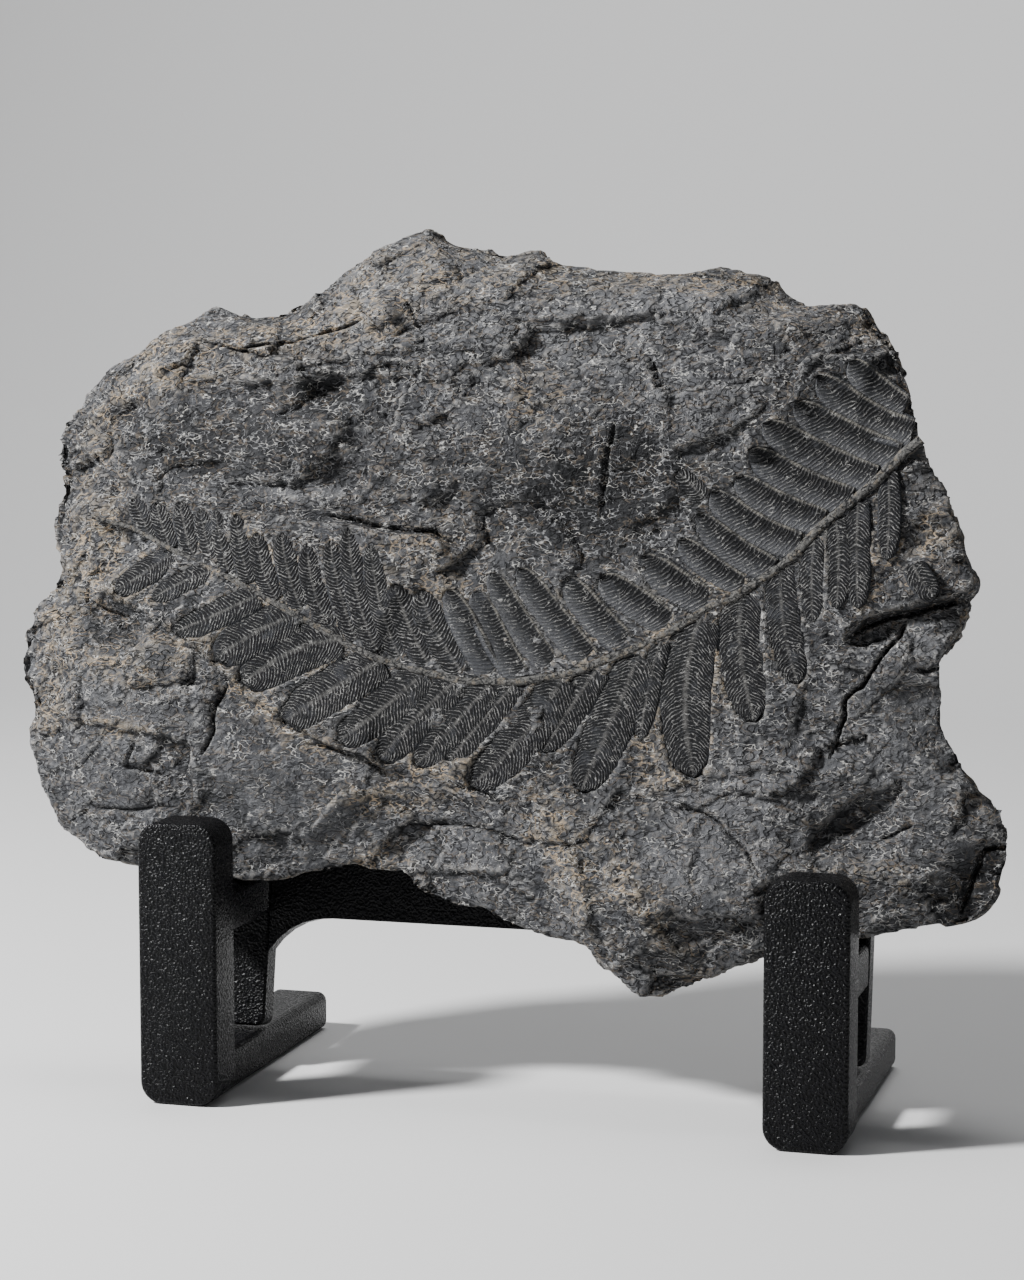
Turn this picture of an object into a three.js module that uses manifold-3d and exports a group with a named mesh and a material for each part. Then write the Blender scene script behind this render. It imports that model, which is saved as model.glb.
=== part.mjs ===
// Fossil fern plate: a broken slab of dark slate with a fern frond on its face, held on a black metal stand.
// Millimetres, +Z up. The face looks towards -Y, and the frond runs along X.
import * as THREE from "three";
import { mergeVertices } from "three/addons/utils/BufferGeometryUtils.js";
import Module from "manifold-3d";

// Driving dimensions of the slab.
const THICKNESS = 34;
const LEAN = THREE.MathUtils.degToRad(10);
const FACE_HEIGHT = 147; // the face's middle, above the surface that the stand rests on
const ROUGH_BACK = 1.2; // how far the rough back may stand out
const TOUCH_GAP = 0.3; // kept between touching pieces

// Driving dimensions of the stand.
const POST = { width: 26, depth: 17, corner: 7, edge: 1.2, steps: 3 };
const POST_FRONT = -37; // front of both posts, from the middle of the slab's face
const LEFT = { x: -99, height: 90 };
const RIGHT = { x: 101, height: 82 };
const FOOT = { width: 20, height: 13, length: 112, corner: 3, edge: 0.8, steps: 2 };
const ARM = { width: 20, height: 14, corner: 2, edge: 0.6, steps: 2 };
const BACK_REST = { width: 20, depth: 9, top: 150, corner: 3, edge: 0.8, steps: 2 };
const CROSS_RAIL = { depth: 6, low: 51, high: 80, haunch: 12, haunchRun: 22 };

// The photograph's view, in which outlines are read: pixels of a picture 1024 wide and 1280 high.
const VIEW = { azimuth: 16, elevation: 6, distance: 940, focal: 3000, middle: [512, 640] };

// The slab's outline from the left, round the bottom: pixel x, y, and how far the face falls back there.
const OUTLINE = [
  [61, 500, 9], [55, 528, 9], [59, 555, 9], [57, 577, 8], [46, 597, 8], [31, 610, 7], [28, 627, 7],
  [21, 655, 7], [22, 678, 7], [31, 705, 7], [28, 742, 7], [36, 768, 8], [47, 794, 9], [57, 822, 10],
  [78, 840, 10], [102, 860, 9], [136, 866, 8], [195, 874, 8], [260, 881, 8], [345, 867, 8],
  [356, 864, 8], [400, 871, 8], [415, 886, 8], [440, 899, 8], [480, 909, 8], [520, 929, 8], [590, 949, 7],
  [600, 968, 7], [620, 980, 7], [642, 1000, 8], [665, 996, 9], [700, 980, 9], [745, 965, 9], [800, 950, 9],
  [862, 940, 9], [958, 925, 9], [985, 912, 9], [999, 890, 9], [1006, 865, 9], [1009, 845, 9],
  [1003, 820, 8], [999, 808, 8], [978, 790, 8], [963, 768, 8], [950, 748, 7], [943, 730, 7], [940, 715, 7],
  [943, 690, 6], [943, 663, 6], [952, 644, 6], [961, 626, 5], [966, 600, 5], [978, 584, 4], [970, 561, 4],
  [958, 520, 4], [949, 492, 4], [933, 465, 4], [922, 440, 4], [915, 412, 4], [908, 390, 5], [898, 355, 7],
  [887, 334, 9], [865, 309, 11], [853, 301, 12], [825, 303, 13], [800, 303, 13], [781, 290, 14],
  [777, 280, 14], [760, 272, 14], [740, 271, 14], [710, 267, 14], [660, 272, 15], [600, 268, 15],
  [562, 263, 15], [540, 251, 15], [500, 253, 15], [470, 248, 15], [445, 240, 15], [430, 231, 15],
  [410, 234, 15], [385, 246, 14], [352, 265, 13], [325, 286, 13], [290, 312, 12], [260, 317, 12],
  [208, 313, 12], [188, 323, 12], [164, 331, 12], [146, 350, 12], [122, 361, 12], [101, 378, 12],
  [84, 402, 11], [62, 428, 10], [58, 450, 10], [66, 472, 9],
];
const OUTLINE_MIDDLE = [512, 440]; // bare stone above the frond, from which the whole outline is in sight

// The face is a grid of facets that falls back in its outer band.
const FACET = 9.5; // width of a facet
const EDGE_BAND = 0.26; // outer share of the way from the middle to the outline
const EDGE_CURVE = 1.6; // over 1 for a fall that steepens towards the edge

// The rim: how far in from the outline, and what share of the thickness behind the face's edge.
const RIM = [
  { inset: 1.5, depth: 0 }, { inset: 0, depth: 0.3 }, { inset: 3.5, depth: 0.6 }, { inset: 6, depth: 0.88 },
];
const RIM_AHEAD = 25; // how far the rim's own solid starts in front of the face, which is then cut off it
const BACK_RINGS = 2;
const BACK_INSET = 12;

// Roughness of the broken stone: height in mm, and how wide its bumps are; rows are its layers down the rim.
const FACE_ROUGH = [{ height: 1.2, wide: 26 }, { height: 0.9, wide: 9 }];
const BEDDING = { rise: 1.3, layers: 3, wide: 46, high: 24 }; // thin layers that end in low steps
const RIM_ROUGH = { height: 2.6, wide: 8, rows: 9 };
const BACK_ROUGH = { height: 1.15, wide: 17 };

// Lumps and hollows of the face: pixel x, y, half sizes across and up, turn in degrees, height.
const LUMPS = [
  [120, 408, 10, 4.5, 12, -3], [328, 390, 12, 4.5, 6, -3.5], [165, 372, 12, 7, 20, 3],
  [330, 498, 16, 3.5, 4, 2.5], [425, 565, 14, 10, 0, 1.5], [622, 468, 10, 20, -8, -2],
  [382, 315, 6, 5, 0, 2], [690, 385, 42, 20, 0, 3], [840, 430, 24, 24, 0, -4],
  [930, 648, 12, 7, 12, 3.5], [858, 822, 20, 10, 22, -7], [880, 872, 18, 4, -8, 3.5],
  [985, 835, 10, 14, -20, 3], [968, 888, 7, 12, -12, -4], [572, 880, 6, 20, 20, 3.5],
  [645, 910, 5, 24, 42, 3.5], [112, 630, 11, 8, -20, -6], [100, 765, 22, 20, 0, 3],
  [218, 722, 5, 14, -10, -3], [410, 830, 24, 10, 4, -4], [700, 880, 26, 18, 20, 2.5],
  [560, 330, 60, 14, 0, 2], [250, 440, 40, 18, 0, 2.5], [470, 450, 40, 20, 0, 2],
];

// Ledges: the side to the left of the line, as it is read, stands higher by rise and fades out.
const LEDGES = [
  { rise: 3.5, fade: 34, line: [[459, 552], [431, 534], [399, 531], [353, 523], [235, 511], [205, 505]] },
  { rise: 3, fade: 26, line: [[90, 590], [145, 615], [200, 650], [250, 700], [320, 742], [380, 768]] },
  { rise: 5, fade: 30, line: [[808, 690], [836, 660], [869, 623], [901, 618], [950, 598], [980, 588]] },
  { rise: 4, fade: 26, line: [[890, 345], [850, 351], [800, 355], [787, 395], [745, 440], [742, 470]] },
  { rise: 3, fade: 24, line: [[35, 708], [80, 720], [160, 738], [192, 748], [190, 810]] },
];

const LEDGE_WIDTH = 2.5; // from the foot of a ledge to its top

// Cracks cut into the face: a line, how wide it opens and how deep it goes.
const CRACKS = [
  { width: 2.4, depth: 5, line: [[962, 598], [929, 621], [892, 642], [860, 686], [839, 714], [829, 758]] },
  { width: 2, depth: 4, line: [[228, 685], [217, 705], [213, 735], [203, 760]] },
  { width: 1.6, depth: 3.5, line: [[459, 546], [431, 533], [380, 526], [340, 520]] },
];

const CRACK_LIFT = 12; // how far a crack's wedge stands out of the face

// The frond: its rachis from left to right, and each leaflet's foot, middle, tip and width.
const RACHIS = [
  [92, 517], [150, 537], [200, 562], [260, 594], [320, 627], [376, 658], [429, 673], [491, 682],
  [537, 679], [583, 669], [629, 651], [688, 623], [753, 584], [799, 551], [841, 510], [881, 476], [921, 439],
];
const RACHIS_SIZE = { across: 1.6, high: 2, sunk: 0.2, steps: 18, sides: 3 };
const LEAFLETS = [
  [[150, 538], [143, 520], [132, 499], 22], [[172, 549], [164, 528], [156, 503], 22],
  [[197, 558], [187, 530], [181, 502], 22], [[216, 564], [208, 538], [202, 510], 20],
  [[233, 572], [225, 542], [221, 511], 22], [[255, 583], [246, 552], [241, 516], 22],
  [[281, 600], [267, 570], [262, 534], 24], [[306, 614], [293, 576], [286, 534], 24],
  [[335, 632], [317, 592], [311, 545], 24], [[357, 640], [342, 594], [333, 541], 24],
  [[378, 650], [360, 600], [351, 528], 26], [[400, 658], [382, 606], [373, 540], 24],
  [[428, 664], [406, 625], [394, 585], 26], [[462, 672], [436, 632], [420, 590], 32],
  [[492, 676], [470, 635], [447, 590], 30], [[520, 676], [497, 640], [474, 590], 30],
  [[552, 668], [520, 625], [490, 572], 30], [[590, 660], [555, 620], [518, 568], 32],
  [[625, 645], [590, 610], [565, 578], 32], [[670, 626], [632, 600], [600, 578], 34],
  [[712, 605], [672, 582], [640, 557], 34], [[745, 588], [708, 565], [680, 540], 26],
  [[772, 570], [728, 545], [697, 515], 30], [[800, 545], [750, 525], [712, 492], 32],
  [[825, 522], [775, 505], [737, 478], 32], [[852, 500], [800, 483], [752, 452], 34],
  [[876, 478], [825, 460], [765, 425], 34], [[900, 455], [850, 438], [795, 405], 34],
  [[912, 432], [865, 415], [818, 378], 34], [[905, 406], [880, 391], [850, 362], 28],
  [[172, 553], [148, 572], [118, 592], 30], [[215, 572], [185, 583], [155, 600], 26],
  [[262, 596], [222, 615], [176, 634], 28], [[300, 616], [262, 632], [220, 660], 40],
  [[345, 640], [300, 650], [246, 684], 46], [[382, 660], [335, 690], [284, 724], 42],
  [[424, 672], [380, 712], [342, 742], 36], [[458, 680], [420, 715], [380, 760], 34],
  [[490, 684], [455, 725], [415, 765], 30], [[515, 684], [482, 722], [448, 762], 28],
  [[562, 678], [522, 738], [470, 786], 42], [[598, 668], [572, 705], [543, 752], 30],
  [[640, 652], [618, 705], [580, 792], 48], [[660, 640], [648, 690], [640, 740], 24],
  [[700, 618], [685, 690], [694, 778], 52], [[742, 590], [740, 655], [756, 722], 44],
  [[780, 566], [783, 625], [798, 684], 34], [[815, 540], [812, 580], [812, 622], 26],
  [[836, 520], [840, 560], [838, 610], 24], [[858, 502], [858, 550], [860, 610], 26],
  [[888, 472], [890, 520], [888, 562], 22], [[705, 503], [695, 488], [678, 472], 22],
  [[915, 566], [925, 584], [938, 598], 24],
];
const LEAFLET_HEIGHT = 1.5; // how far a leaflet stands off the face
const LEAFLET_ROOT = 3; // how far it reaches into the stone
const LEAFLET_WIDTHS = [[0, 0.62], [0.5, 0.86], [0.86, 0.68]]; // share of length, share of width: gaps show

const wasm = await Module();
wasm.setup();

// The camera of the photograph, for reading a pixel as a place on the slab's face.
const azimuth = THREE.MathUtils.degToRad(VIEW.azimuth);
const elevation = THREE.MathUtils.degToRad(VIEW.elevation);
const viewForward = new THREE.Vector3(
  -Math.sin(azimuth) * Math.cos(elevation),
  Math.cos(azimuth) * Math.cos(elevation),
  -Math.sin(elevation),
);
const viewRight = new THREE.Vector3(Math.cos(azimuth), Math.sin(azimuth), 0);
const viewUp = new THREE.Vector3().crossVectors(viewRight, viewForward);
const faceUp = new THREE.Vector3(0, Math.sin(LEAN), Math.cos(LEAN));
const faceOut = new THREE.Vector3(0, -Math.cos(LEAN), Math.sin(LEAN));

// A pixel's place on the face plane, or on a plane behind it: x to the right and y up, from the face's middle.
function onFace([px, py], behind = 0) {
  const ray = viewForward.clone().multiplyScalar(VIEW.focal)
    .addScaledVector(viewRight, px - VIEW.middle[0])
    .addScaledVector(viewUp, VIEW.middle[1] - py);
  const eye = viewForward.clone().multiplyScalar(-VIEW.distance);
  const hit = eye.addScaledVector(ray, -(behind + eye.dot(faceOut)) / ray.dot(faceOut));
  return new THREE.Vector2(hit.x, hit.dot(faceUp));
}

// A repeatable random number from 0 to 1 for a whole number.
function scatter(index) {
  const wave = Math.sin(index * 12.9898 + 4.1) * 43758.5453;
  return wave - Math.floor(wave);
}

// Smooth repeatable noise from -1 to 1 over a plane, with bumps about one unit wide.
function noise(x, y) {
  const cellX = Math.floor(x);
  const cellY = Math.floor(y);
  const corner = (i, j) => scatter((cellX + i) * 57 + (cellY + j) * 131);
  const shareX = THREE.MathUtils.smoothstep(x - cellX, 0, 1);
  const shareY = THREE.MathUtils.smoothstep(y - cellY, 0, 1);
  const low = THREE.MathUtils.lerp(corner(0, 0), corner(1, 0), shareX);
  const high = THREE.MathUtils.lerp(corner(0, 1), corner(1, 1), shareX);
  return 2 * THREE.MathUtils.lerp(low, high, shareY) - 1;
}

// How close a point is to a line of points, and on which side: positive to the left of the line's way.
function besideLine(point, line) {
  let best = { away: Infinity, side: 0 };
  for (let i = 0; i + 1 < line.length; i++) {
    const along = line[i + 1].clone().sub(line[i]);
    const from = point.clone().sub(line[i]);
    const share = THREE.MathUtils.clamp(from.dot(along) / along.lengthSq(), 0, 1);
    const away = from.distanceTo(along.clone().multiplyScalar(share));
    if (away < best.away) best = { away, side: Math.sign(along.cross(from)) };
  }
  return best;
}

const outline = OUTLINE.map((read) => ({ place: onFace(read, read[2]), fall: read[2] }));
const faceMiddle = onFace(OUTLINE_MIDDLE);
const lumps = LUMPS.map(([px, py, across, up, turn, height]) => ({
  place: onFace([px, py]), across, up, height, turn: THREE.MathUtils.degToRad(turn),
}));
const ledges = LEDGES.map((ledge) => ({ ...ledge, line: ledge.line.map((read) => onFace(read)) }));

// Height of the face over its plane: lumps, hollows, ledges, layers and roughness.
function relief(point) {
  let height = 0;
  for (const lump of lumps) {
    const from = point.clone().sub(lump.place).rotateAround(new THREE.Vector2(), -lump.turn);
    height += lump.height * Math.exp(-((from.x / lump.across) ** 2) - (from.y / lump.up) ** 2);
  }
  for (const ledge of ledges) {
    const { away, side } = besideLine(point, ledge.line);
    const above = side > 0 ? THREE.MathUtils.smoothstep(away, 0, LEDGE_WIDTH) : 0;
    height += ledge.rise * above * Math.exp(-away / ledge.fade);
  }
  const layer = Math.round(BEDDING.layers * noise(point.x / BEDDING.wide, point.y / BEDDING.high));
  height += (BEDDING.rise * layer) / 2;
  for (const rough of FACE_ROUGH) height += rough.height * noise(point.x / rough.wide, point.y / rough.wide);
  return height;
}

// How far out a place lies, from 0 in the middle to 1 on the outline, and how far the edge falls back there.
function outward(point) {
  const from = point.clone().sub(faceMiddle);
  for (let i = 0; i < outline.length; i++) {
    const next = outline[(i + 1) % outline.length];
    const start = outline[i].place.clone().sub(faceMiddle);
    const end = next.place.clone().sub(faceMiddle);
    if (start.cross(from) < 0 || from.cross(end) <= 0) continue;
    const span = end.clone().sub(start);
    const along = start.cross(from) / from.cross(span);
    return {
      share: from.cross(span) / start.cross(end),
      fall: THREE.MathUtils.lerp(outline[i].fall, next.fall, along),
    };
  }
  return { share: 0, fall: 0 };
}

// A block larger than the slab, whose front is the slab's face: a grid of facets. y runs into the slab.
function faceBlock() {
  const reach = new THREE.Box2().setFromPoints(outline.map(({ place }) => place)).expandByScalar(FACET);
  const size = reach.getSize(new THREE.Vector2());
  const middle = reach.getCenter(new THREE.Vector2());
  const columns = Math.round(size.x / FACET);
  const rows = Math.round(size.y / FACET);
  const block = new THREE.BoxGeometry(size.x, 2 * THICKNESS, size.y, columns, 1, rows);
  block.translate(middle.x, THICKNESS, middle.y);
  const place = block.getAttribute("position");
  for (let i = 0; i < place.count; i++) {
    if (place.getY(i) > THICKNESS) continue;
    const at = new THREE.Vector2(place.getX(i), place.getZ(i));
    const { share, fall } = outward(at);
    const band = THREE.MathUtils.clamp((share - 1 + EDGE_BAND) / EDGE_BAND, 0, 1);
    place.setY(i, fall * band ** EDGE_CURVE - relief(at));
  }
  return block;
}

// A point of the rim's solid: x across, y into the slab, z up the face.
function rimPoint({ place, fall }, ring) {
  const reach = place.clone().sub(faceMiddle);
  const length = reach.length();
  const turn = reach.angle() * (length / RIM_ROUGH.wide);
  const rough = ring.part === "rim" ? RIM_ROUGH.height * noise(turn, ring.depth * RIM_ROUGH.rows) : 0;
  const inset = Math.max(0, ring.inset + rough);
  const at = faceMiddle.clone().addScaledVector(reach, ((length - inset) / length) * ring.share);
  if (ring.part === "front") return new THREE.Vector3(at.x, -RIM_AHEAD, at.y);
  const backRough = BACK_ROUGH.height * noise(at.x / BACK_ROUGH.wide, at.y / BACK_ROUGH.wide);
  const edgeFront = fall - relief(place);
  return new THREE.Vector3(at.x, edgeFront + (THICKNESS - edgeFront + backRough) * ring.depth, at.y);
}

// The rings of the rim's solid: its flat front, the broken rim and the back.
function rimRings() {
  const front = [0, 1].map((share) => ({ part: "front", share, inset: RIM[0].inset }));
  const rim = RIM.map((ring) => ({ part: "rim", share: 1, ...ring }));
  const back = Array.from({ length: BACK_RINGS + 1 }, (_, i) => ({
    part: "back", inset: BACK_INSET, depth: 1, share: 1 - i / BACK_RINGS,
  }));
  return [...front, ...rim, ...back];
}

// A closed shape as a solid that can be joined and cut.
function solidOf(geometry) {
  const bare = geometry.clone();
  bare.deleteAttribute("normal");
  bare.deleteAttribute("uv");
  const merged = mergeVertices(bare, 1e-3);
  return new wasm.Manifold(new wasm.Mesh({
    numProp: 3,
    vertProperties: new Float32Array(merged.getAttribute("position").array),
    triVerts: new Uint32Array(merged.index.array),
  }));
}

// A solid back as a shape to draw.
function shapeOf(solid) {
  const mesh = solid.getMesh();
  const shape = new THREE.BufferGeometry();
  shape.setAttribute("position", new THREE.BufferAttribute(new Float32Array(mesh.vertProperties), 3));
  shape.setIndex(new THREE.BufferAttribute(new Uint32Array(mesh.triVerts), 1));
  const flat = shape.toNonIndexed();
  flat.computeVertexNormals();
  return flat;
}

// The rim's solid: a sphere's rings and spokes drawn out to the slab's outline and back.
function rimShape() {
  const rings = rimRings();
  const ball = new THREE.SphereGeometry(1, outline.length, rings.length - 1);
  const place = ball.getAttribute("position");
  rings.forEach((ring, ringIndex) => {
    for (let i = 0; i <= outline.length; i++) {
      const point = rimPoint(outline[ring.share === 0 ? 0 : i % outline.length], ring);
      place.setXYZ(ringIndex * (outline.length + 1) + i, point.x, point.y, point.z);
    }
  });
  return ball;
}

// How deep the bare face lies at a place, found by looking straight at it.
function faceDepth(bareFace, at) {
  const sight = new THREE.Raycaster(new THREE.Vector3(at.x, -THICKNESS, at.y), new THREE.Vector3(0, 1, 0));
  return sight.intersectObject(bareFace)[0].point.y;
}

// One leaflet: a pad with a round tip that follows the face, its foot on the rachis.
function leaflet([foot, middle, tip, width], bareFace) {
  const [start, halfway, end] = [foot, middle, tip].map((read) => onFace(read));
  const pull = halfway.multiplyScalar(2).sub(start.clone().add(end).multiplyScalar(0.5));
  const spine = new THREE.QuadraticBezierCurve(start, pull, end);
  const half = (width / 2) * (VIEW.distance / VIEW.focal);
  const sideOf = (way) => LEAFLET_WIDTHS.map(([share, wide]) => {
    const run = spine.getTangent(share);
    return spine.getPoint(share).add(new THREE.Vector2(-run.y, run.x).multiplyScalar(way * half * wide));
  });
  const rim = [...sideOf(-1), spine.getPoint(1), ...sideOf(1).reverse()];
  const pad = new THREE.ExtrudeGeometry(new THREE.Shape(rim), { depth: 1, bevelEnabled: false });
  const place = pad.getAttribute("position");
  for (let i = 0; i < place.count; i++) {
    const at = new THREE.Vector2(place.getX(i), place.getY(i));
    const out = place.getZ(i) > 0.5 ? LEAFLET_HEIGHT : -LEAFLET_ROOT;
    place.setXYZ(i, at.x, faceDepth(bareFace, at) - out, at.y);
  }
  return solidOf(pad);
}

// The rachis: a low round ridge along its line.
function rachis(bareFace) {
  const line = new THREE.CatmullRomCurve3(RACHIS.map((read) => {
    const at = onFace(read);
    return new THREE.Vector3(at.x, faceDepth(bareFace, at) + RACHIS_SIZE.sunk, at.y);
  }));
  const section = new THREE.Shape();
  section.absellipse(0, 0, RACHIS_SIZE.high, RACHIS_SIZE.across, 0, Math.PI * 2);
  return solidOf(new THREE.ExtrudeGeometry(section, {
    steps: RACHIS_SIZE.steps, extrudePath: line, curveSegments: RACHIS_SIZE.sides, bevelEnabled: false,
  }));
}

// A crack: a run of wedges, point down, that overlap at their ends.
function crack({ line, width, depth }) {
  const places = line.map((read) => onFace(read));
  return places.slice(1).map((end, i) => {
    const start = places[i];
    const run = end.clone().sub(start);
    const wedge = new THREE.Shape([
      new THREE.Vector2(0, depth),
      new THREE.Vector2(width / 2, -CRACK_LIFT),
      new THREE.Vector2(-width / 2, -CRACK_LIFT),
    ]);
    const bar = new THREE.ExtrudeGeometry(wedge, { depth: run.length() + width, bevelEnabled: false });
    bar.translate(0, 0, -width / 2);
    const height = (relief(start) + relief(end)) / 2;
    const across = new THREE.Vector3(run.y, 0, -run.x).normalize();
    const along = new THREE.Vector3(run.x, 0, run.y).normalize();
    const frame = new THREE.Matrix4().makeBasis(across, new THREE.Vector3(0, 1, 0), along);
    if (frame.determinant() < 0) frame.makeBasis(across.negate(), new THREE.Vector3(0, 1, 0), along);
    bar.applyMatrix4(frame);
    bar.translate(start.x, -height, start.y);
    return solidOf(bar);
  });
}

// The slab with its frond and cracks, as one piece of stone.
function fossilSlab() {
  const face = faceBlock();
  const bareFace = new THREE.Mesh(face);
  let stone = solidOf(face);
  for (const read of LEAFLETS) stone = stone.add(leaflet(read, bareFace));
  stone = stone.add(rachis(bareFace)).intersect(solidOf(rimShape()));
  for (const wedge of CRACKS.flatMap(crack)) stone = stone.subtract(wedge);
  return stone.decompose().sort((one, other) => other.volume() - one.volume())[0];
}

// A plate with round corners, upright in XZ and depth thick in Y from 0 back.
function roundedPlate({ width, corner, edge, steps }, low, high, depth) {
  const shape = new THREE.Shape();
  const half = width / 2;
  shape.moveTo(-half + corner, low);
  shape.lineTo(half - corner, low);
  shape.absarc(half - corner, low + corner, corner, -Math.PI / 2, 0);
  shape.absarc(half - corner, high - corner, corner, 0, Math.PI / 2);
  shape.absarc(-half + corner, high - corner, corner, Math.PI / 2, Math.PI);
  shape.absarc(-half + corner, low + corner, corner, Math.PI, Math.PI * 1.5);
  const plate = new THREE.ExtrudeGeometry(shape, {
    depth: depth - 2 * edge, curveSegments: steps, bevelEnabled: true,
    bevelThickness: edge, bevelSize: edge, bevelOffset: -edge, bevelSegments: 1,
  });
  return plate.translate(0, 0, edge).rotateX(Math.PI / 2).translate(0, depth, 0);
}

const slate = new THREE.MeshStandardMaterial({ color: 0x4b4c50, roughness: 0.88, metalness: 0 });
const powderCoat = () => new THREE.MeshStandardMaterial({ color: 0x1d1d20, roughness: 0.55, metalness: 0.25 });

function named(name, geometry, material) {
  const mesh = new THREE.Mesh(geometry, material);
  mesh.name = name;
  return mesh;
}

// Lowest height of the leaning slab over a strip of the stand, for the arm that carries it.
function slabUnderside(slab, x, width) {
  const place = slab.getAttribute("position");
  let low = Infinity;
  for (let i = 0; i < place.count; i++) {
    if (Math.abs(place.getX(i) - x) < width) low = Math.min(low, place.getZ(i));
  }
  return low;
}

// Leans a shape back about the middle of the slab's face, as the slab itself leans.
function leaning(shape) {
  return shape.rotateX(-LEAN).translate(0, 0, FACE_HEIGHT);
}

// Height along the leaning back of a level, at a depth behind the face plane.
function upTheBack(level, depth) {
  return (level - FACE_HEIGHT + depth * Math.sin(LEAN)) / Math.cos(LEAN);
}

const part = new THREE.Group();
const slabGeometry = leaning(shapeOf(fossilSlab()));
part.add(named("fossil_slab", slabGeometry, slate));

const restFront = THICKNESS + ROUGH_BACK + TOUCH_GAP;
const restBack = restFront + BACK_REST.depth;

// One side of the stand: front post, foot, arm under the slab and rest behind it.
function standSide(side, { x, height }) {
  const group = new THREE.Group();
  group.position.x = x;
  const post = named(`${side}_front_post`,
    roundedPlate(POST, 0, height, POST.depth), powderCoat());
  post.position.y = POST_FRONT;
  const behindPost = POST_FRONT + POST.depth + TOUCH_GAP;
  const foot = named(`${side}_foot`,
    roundedPlate(FOOT, 0, FOOT.height, FOOT.length - POST.depth), powderCoat());
  foot.position.y = behindPost;
  const armTop = slabUnderside(slabGeometry, x, ARM.width) - TOUCH_GAP;
  const armLow = armTop - ARM.height;
  const restAtArm = (armLow - FACE_HEIGHT) * Math.tan(LEAN) + restFront / Math.cos(LEAN);
  const arm = named(`${side}_arm`,
    roundedPlate(ARM, armLow, armTop, restAtArm - TOUCH_GAP - behindPost), powderCoat());
  arm.position.y = behindPost;
  group.add(post, foot, arm, backRest(side));
  return group;
}

// The rest stands on the foot and leans back along the slab's back.
function backRest(side) {
  const low = upTheBack(FOOT.height + TOUCH_GAP, restBack);
  const high = upTheBack(BACK_REST.top, restFront);
  const shape = roundedPlate(BACK_REST, low, high, BACK_REST.depth);
  return named(`${side}_back_rest`, leaning(shape.translate(0, restFront, 0)), powderCoat());
}

// The rail between the two rests: a strip with a deeper haunch at each end.
function crossRail() {
  const left = LEFT.x + BACK_REST.width / 2 + TOUCH_GAP;
  const right = RIGHT.x - BACK_REST.width / 2 - TOUCH_GAP;
  const low = upTheBack(CROSS_RAIL.low, restFront);
  const high = upTheBack(CROSS_RAIL.high, restFront);
  const haunchLow = low - CROSS_RAIL.haunch;
  const run = CROSS_RAIL.haunchRun;
  const shape = new THREE.Shape();
  shape.moveTo(left, haunchLow);
  shape.quadraticCurveTo(left + run / 3, low, left + run, low);
  shape.lineTo(right - run, low);
  shape.quadraticCurveTo(right - run / 3, low, right, haunchLow);
  shape.lineTo(right, high);
  shape.lineTo(left, high);
  const rail = new THREE.ExtrudeGeometry(shape, {
    depth: CROSS_RAIL.depth, curveSegments: 5, bevelEnabled: false,
  });
  rail.rotateX(Math.PI / 2).translate(0, restFront + CROSS_RAIL.depth, 0);
  return named("cross_rail", leaning(rail), powderCoat());
}

part.add(standSide("left", LEFT), standSide("right", RIGHT), crossRail());

// The frame's origin is under the middle of the whole piece.
const whole = new THREE.Box3().setFromObject(part, true);
const middle = whole.getCenter(new THREE.Vector3());
const framed = new THREE.Group();
part.position.set(-middle.x, -middle.y, 0);
framed.add(part);

export default framed;
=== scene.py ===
import math
from collections import namedtuple

import bmesh
import bpy
import numpy as np
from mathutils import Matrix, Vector


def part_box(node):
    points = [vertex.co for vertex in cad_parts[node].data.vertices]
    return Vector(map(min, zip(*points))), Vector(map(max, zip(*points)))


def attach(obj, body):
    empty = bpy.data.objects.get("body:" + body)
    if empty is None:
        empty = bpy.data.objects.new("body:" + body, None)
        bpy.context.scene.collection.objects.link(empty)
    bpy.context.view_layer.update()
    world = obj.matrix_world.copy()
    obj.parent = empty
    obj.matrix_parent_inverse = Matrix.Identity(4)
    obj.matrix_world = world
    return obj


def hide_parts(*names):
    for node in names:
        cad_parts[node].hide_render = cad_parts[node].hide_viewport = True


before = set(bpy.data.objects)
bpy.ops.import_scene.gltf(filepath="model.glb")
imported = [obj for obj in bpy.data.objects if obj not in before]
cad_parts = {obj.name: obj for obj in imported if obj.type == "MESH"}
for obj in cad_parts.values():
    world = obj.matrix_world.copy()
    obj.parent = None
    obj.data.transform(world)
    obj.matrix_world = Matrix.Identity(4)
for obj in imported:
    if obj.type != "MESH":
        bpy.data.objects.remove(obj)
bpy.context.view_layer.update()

# Lengths in this script are millimetres on the slab's face until a mesh is placed, when they become metres.
MM = 0.001

# The slab in its stand, as built: its lean and thickness, and its face's middle, across and back from the
# left front post and up from the floor.
LEAN = math.radians(10)
THICKNESS = 34.0
POST_TO_MIDDLE = (99.0, 37.0)
FACE_HEIGHT = 147.0

# The camera of the photograph: its angles, its distance, its focal length in pixels of a picture of 1024 by
# 1280, and the sensor along that picture's longer side.
AZIMUTH, ELEVATION = math.radians(16), math.radians(6)
DISTANCE, FOCAL, SENSOR, PICTURE_HEIGHT = 940.0, 3000.0, 36.0, 1280
PICTURE_MIDDLE = (512, 640)

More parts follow.
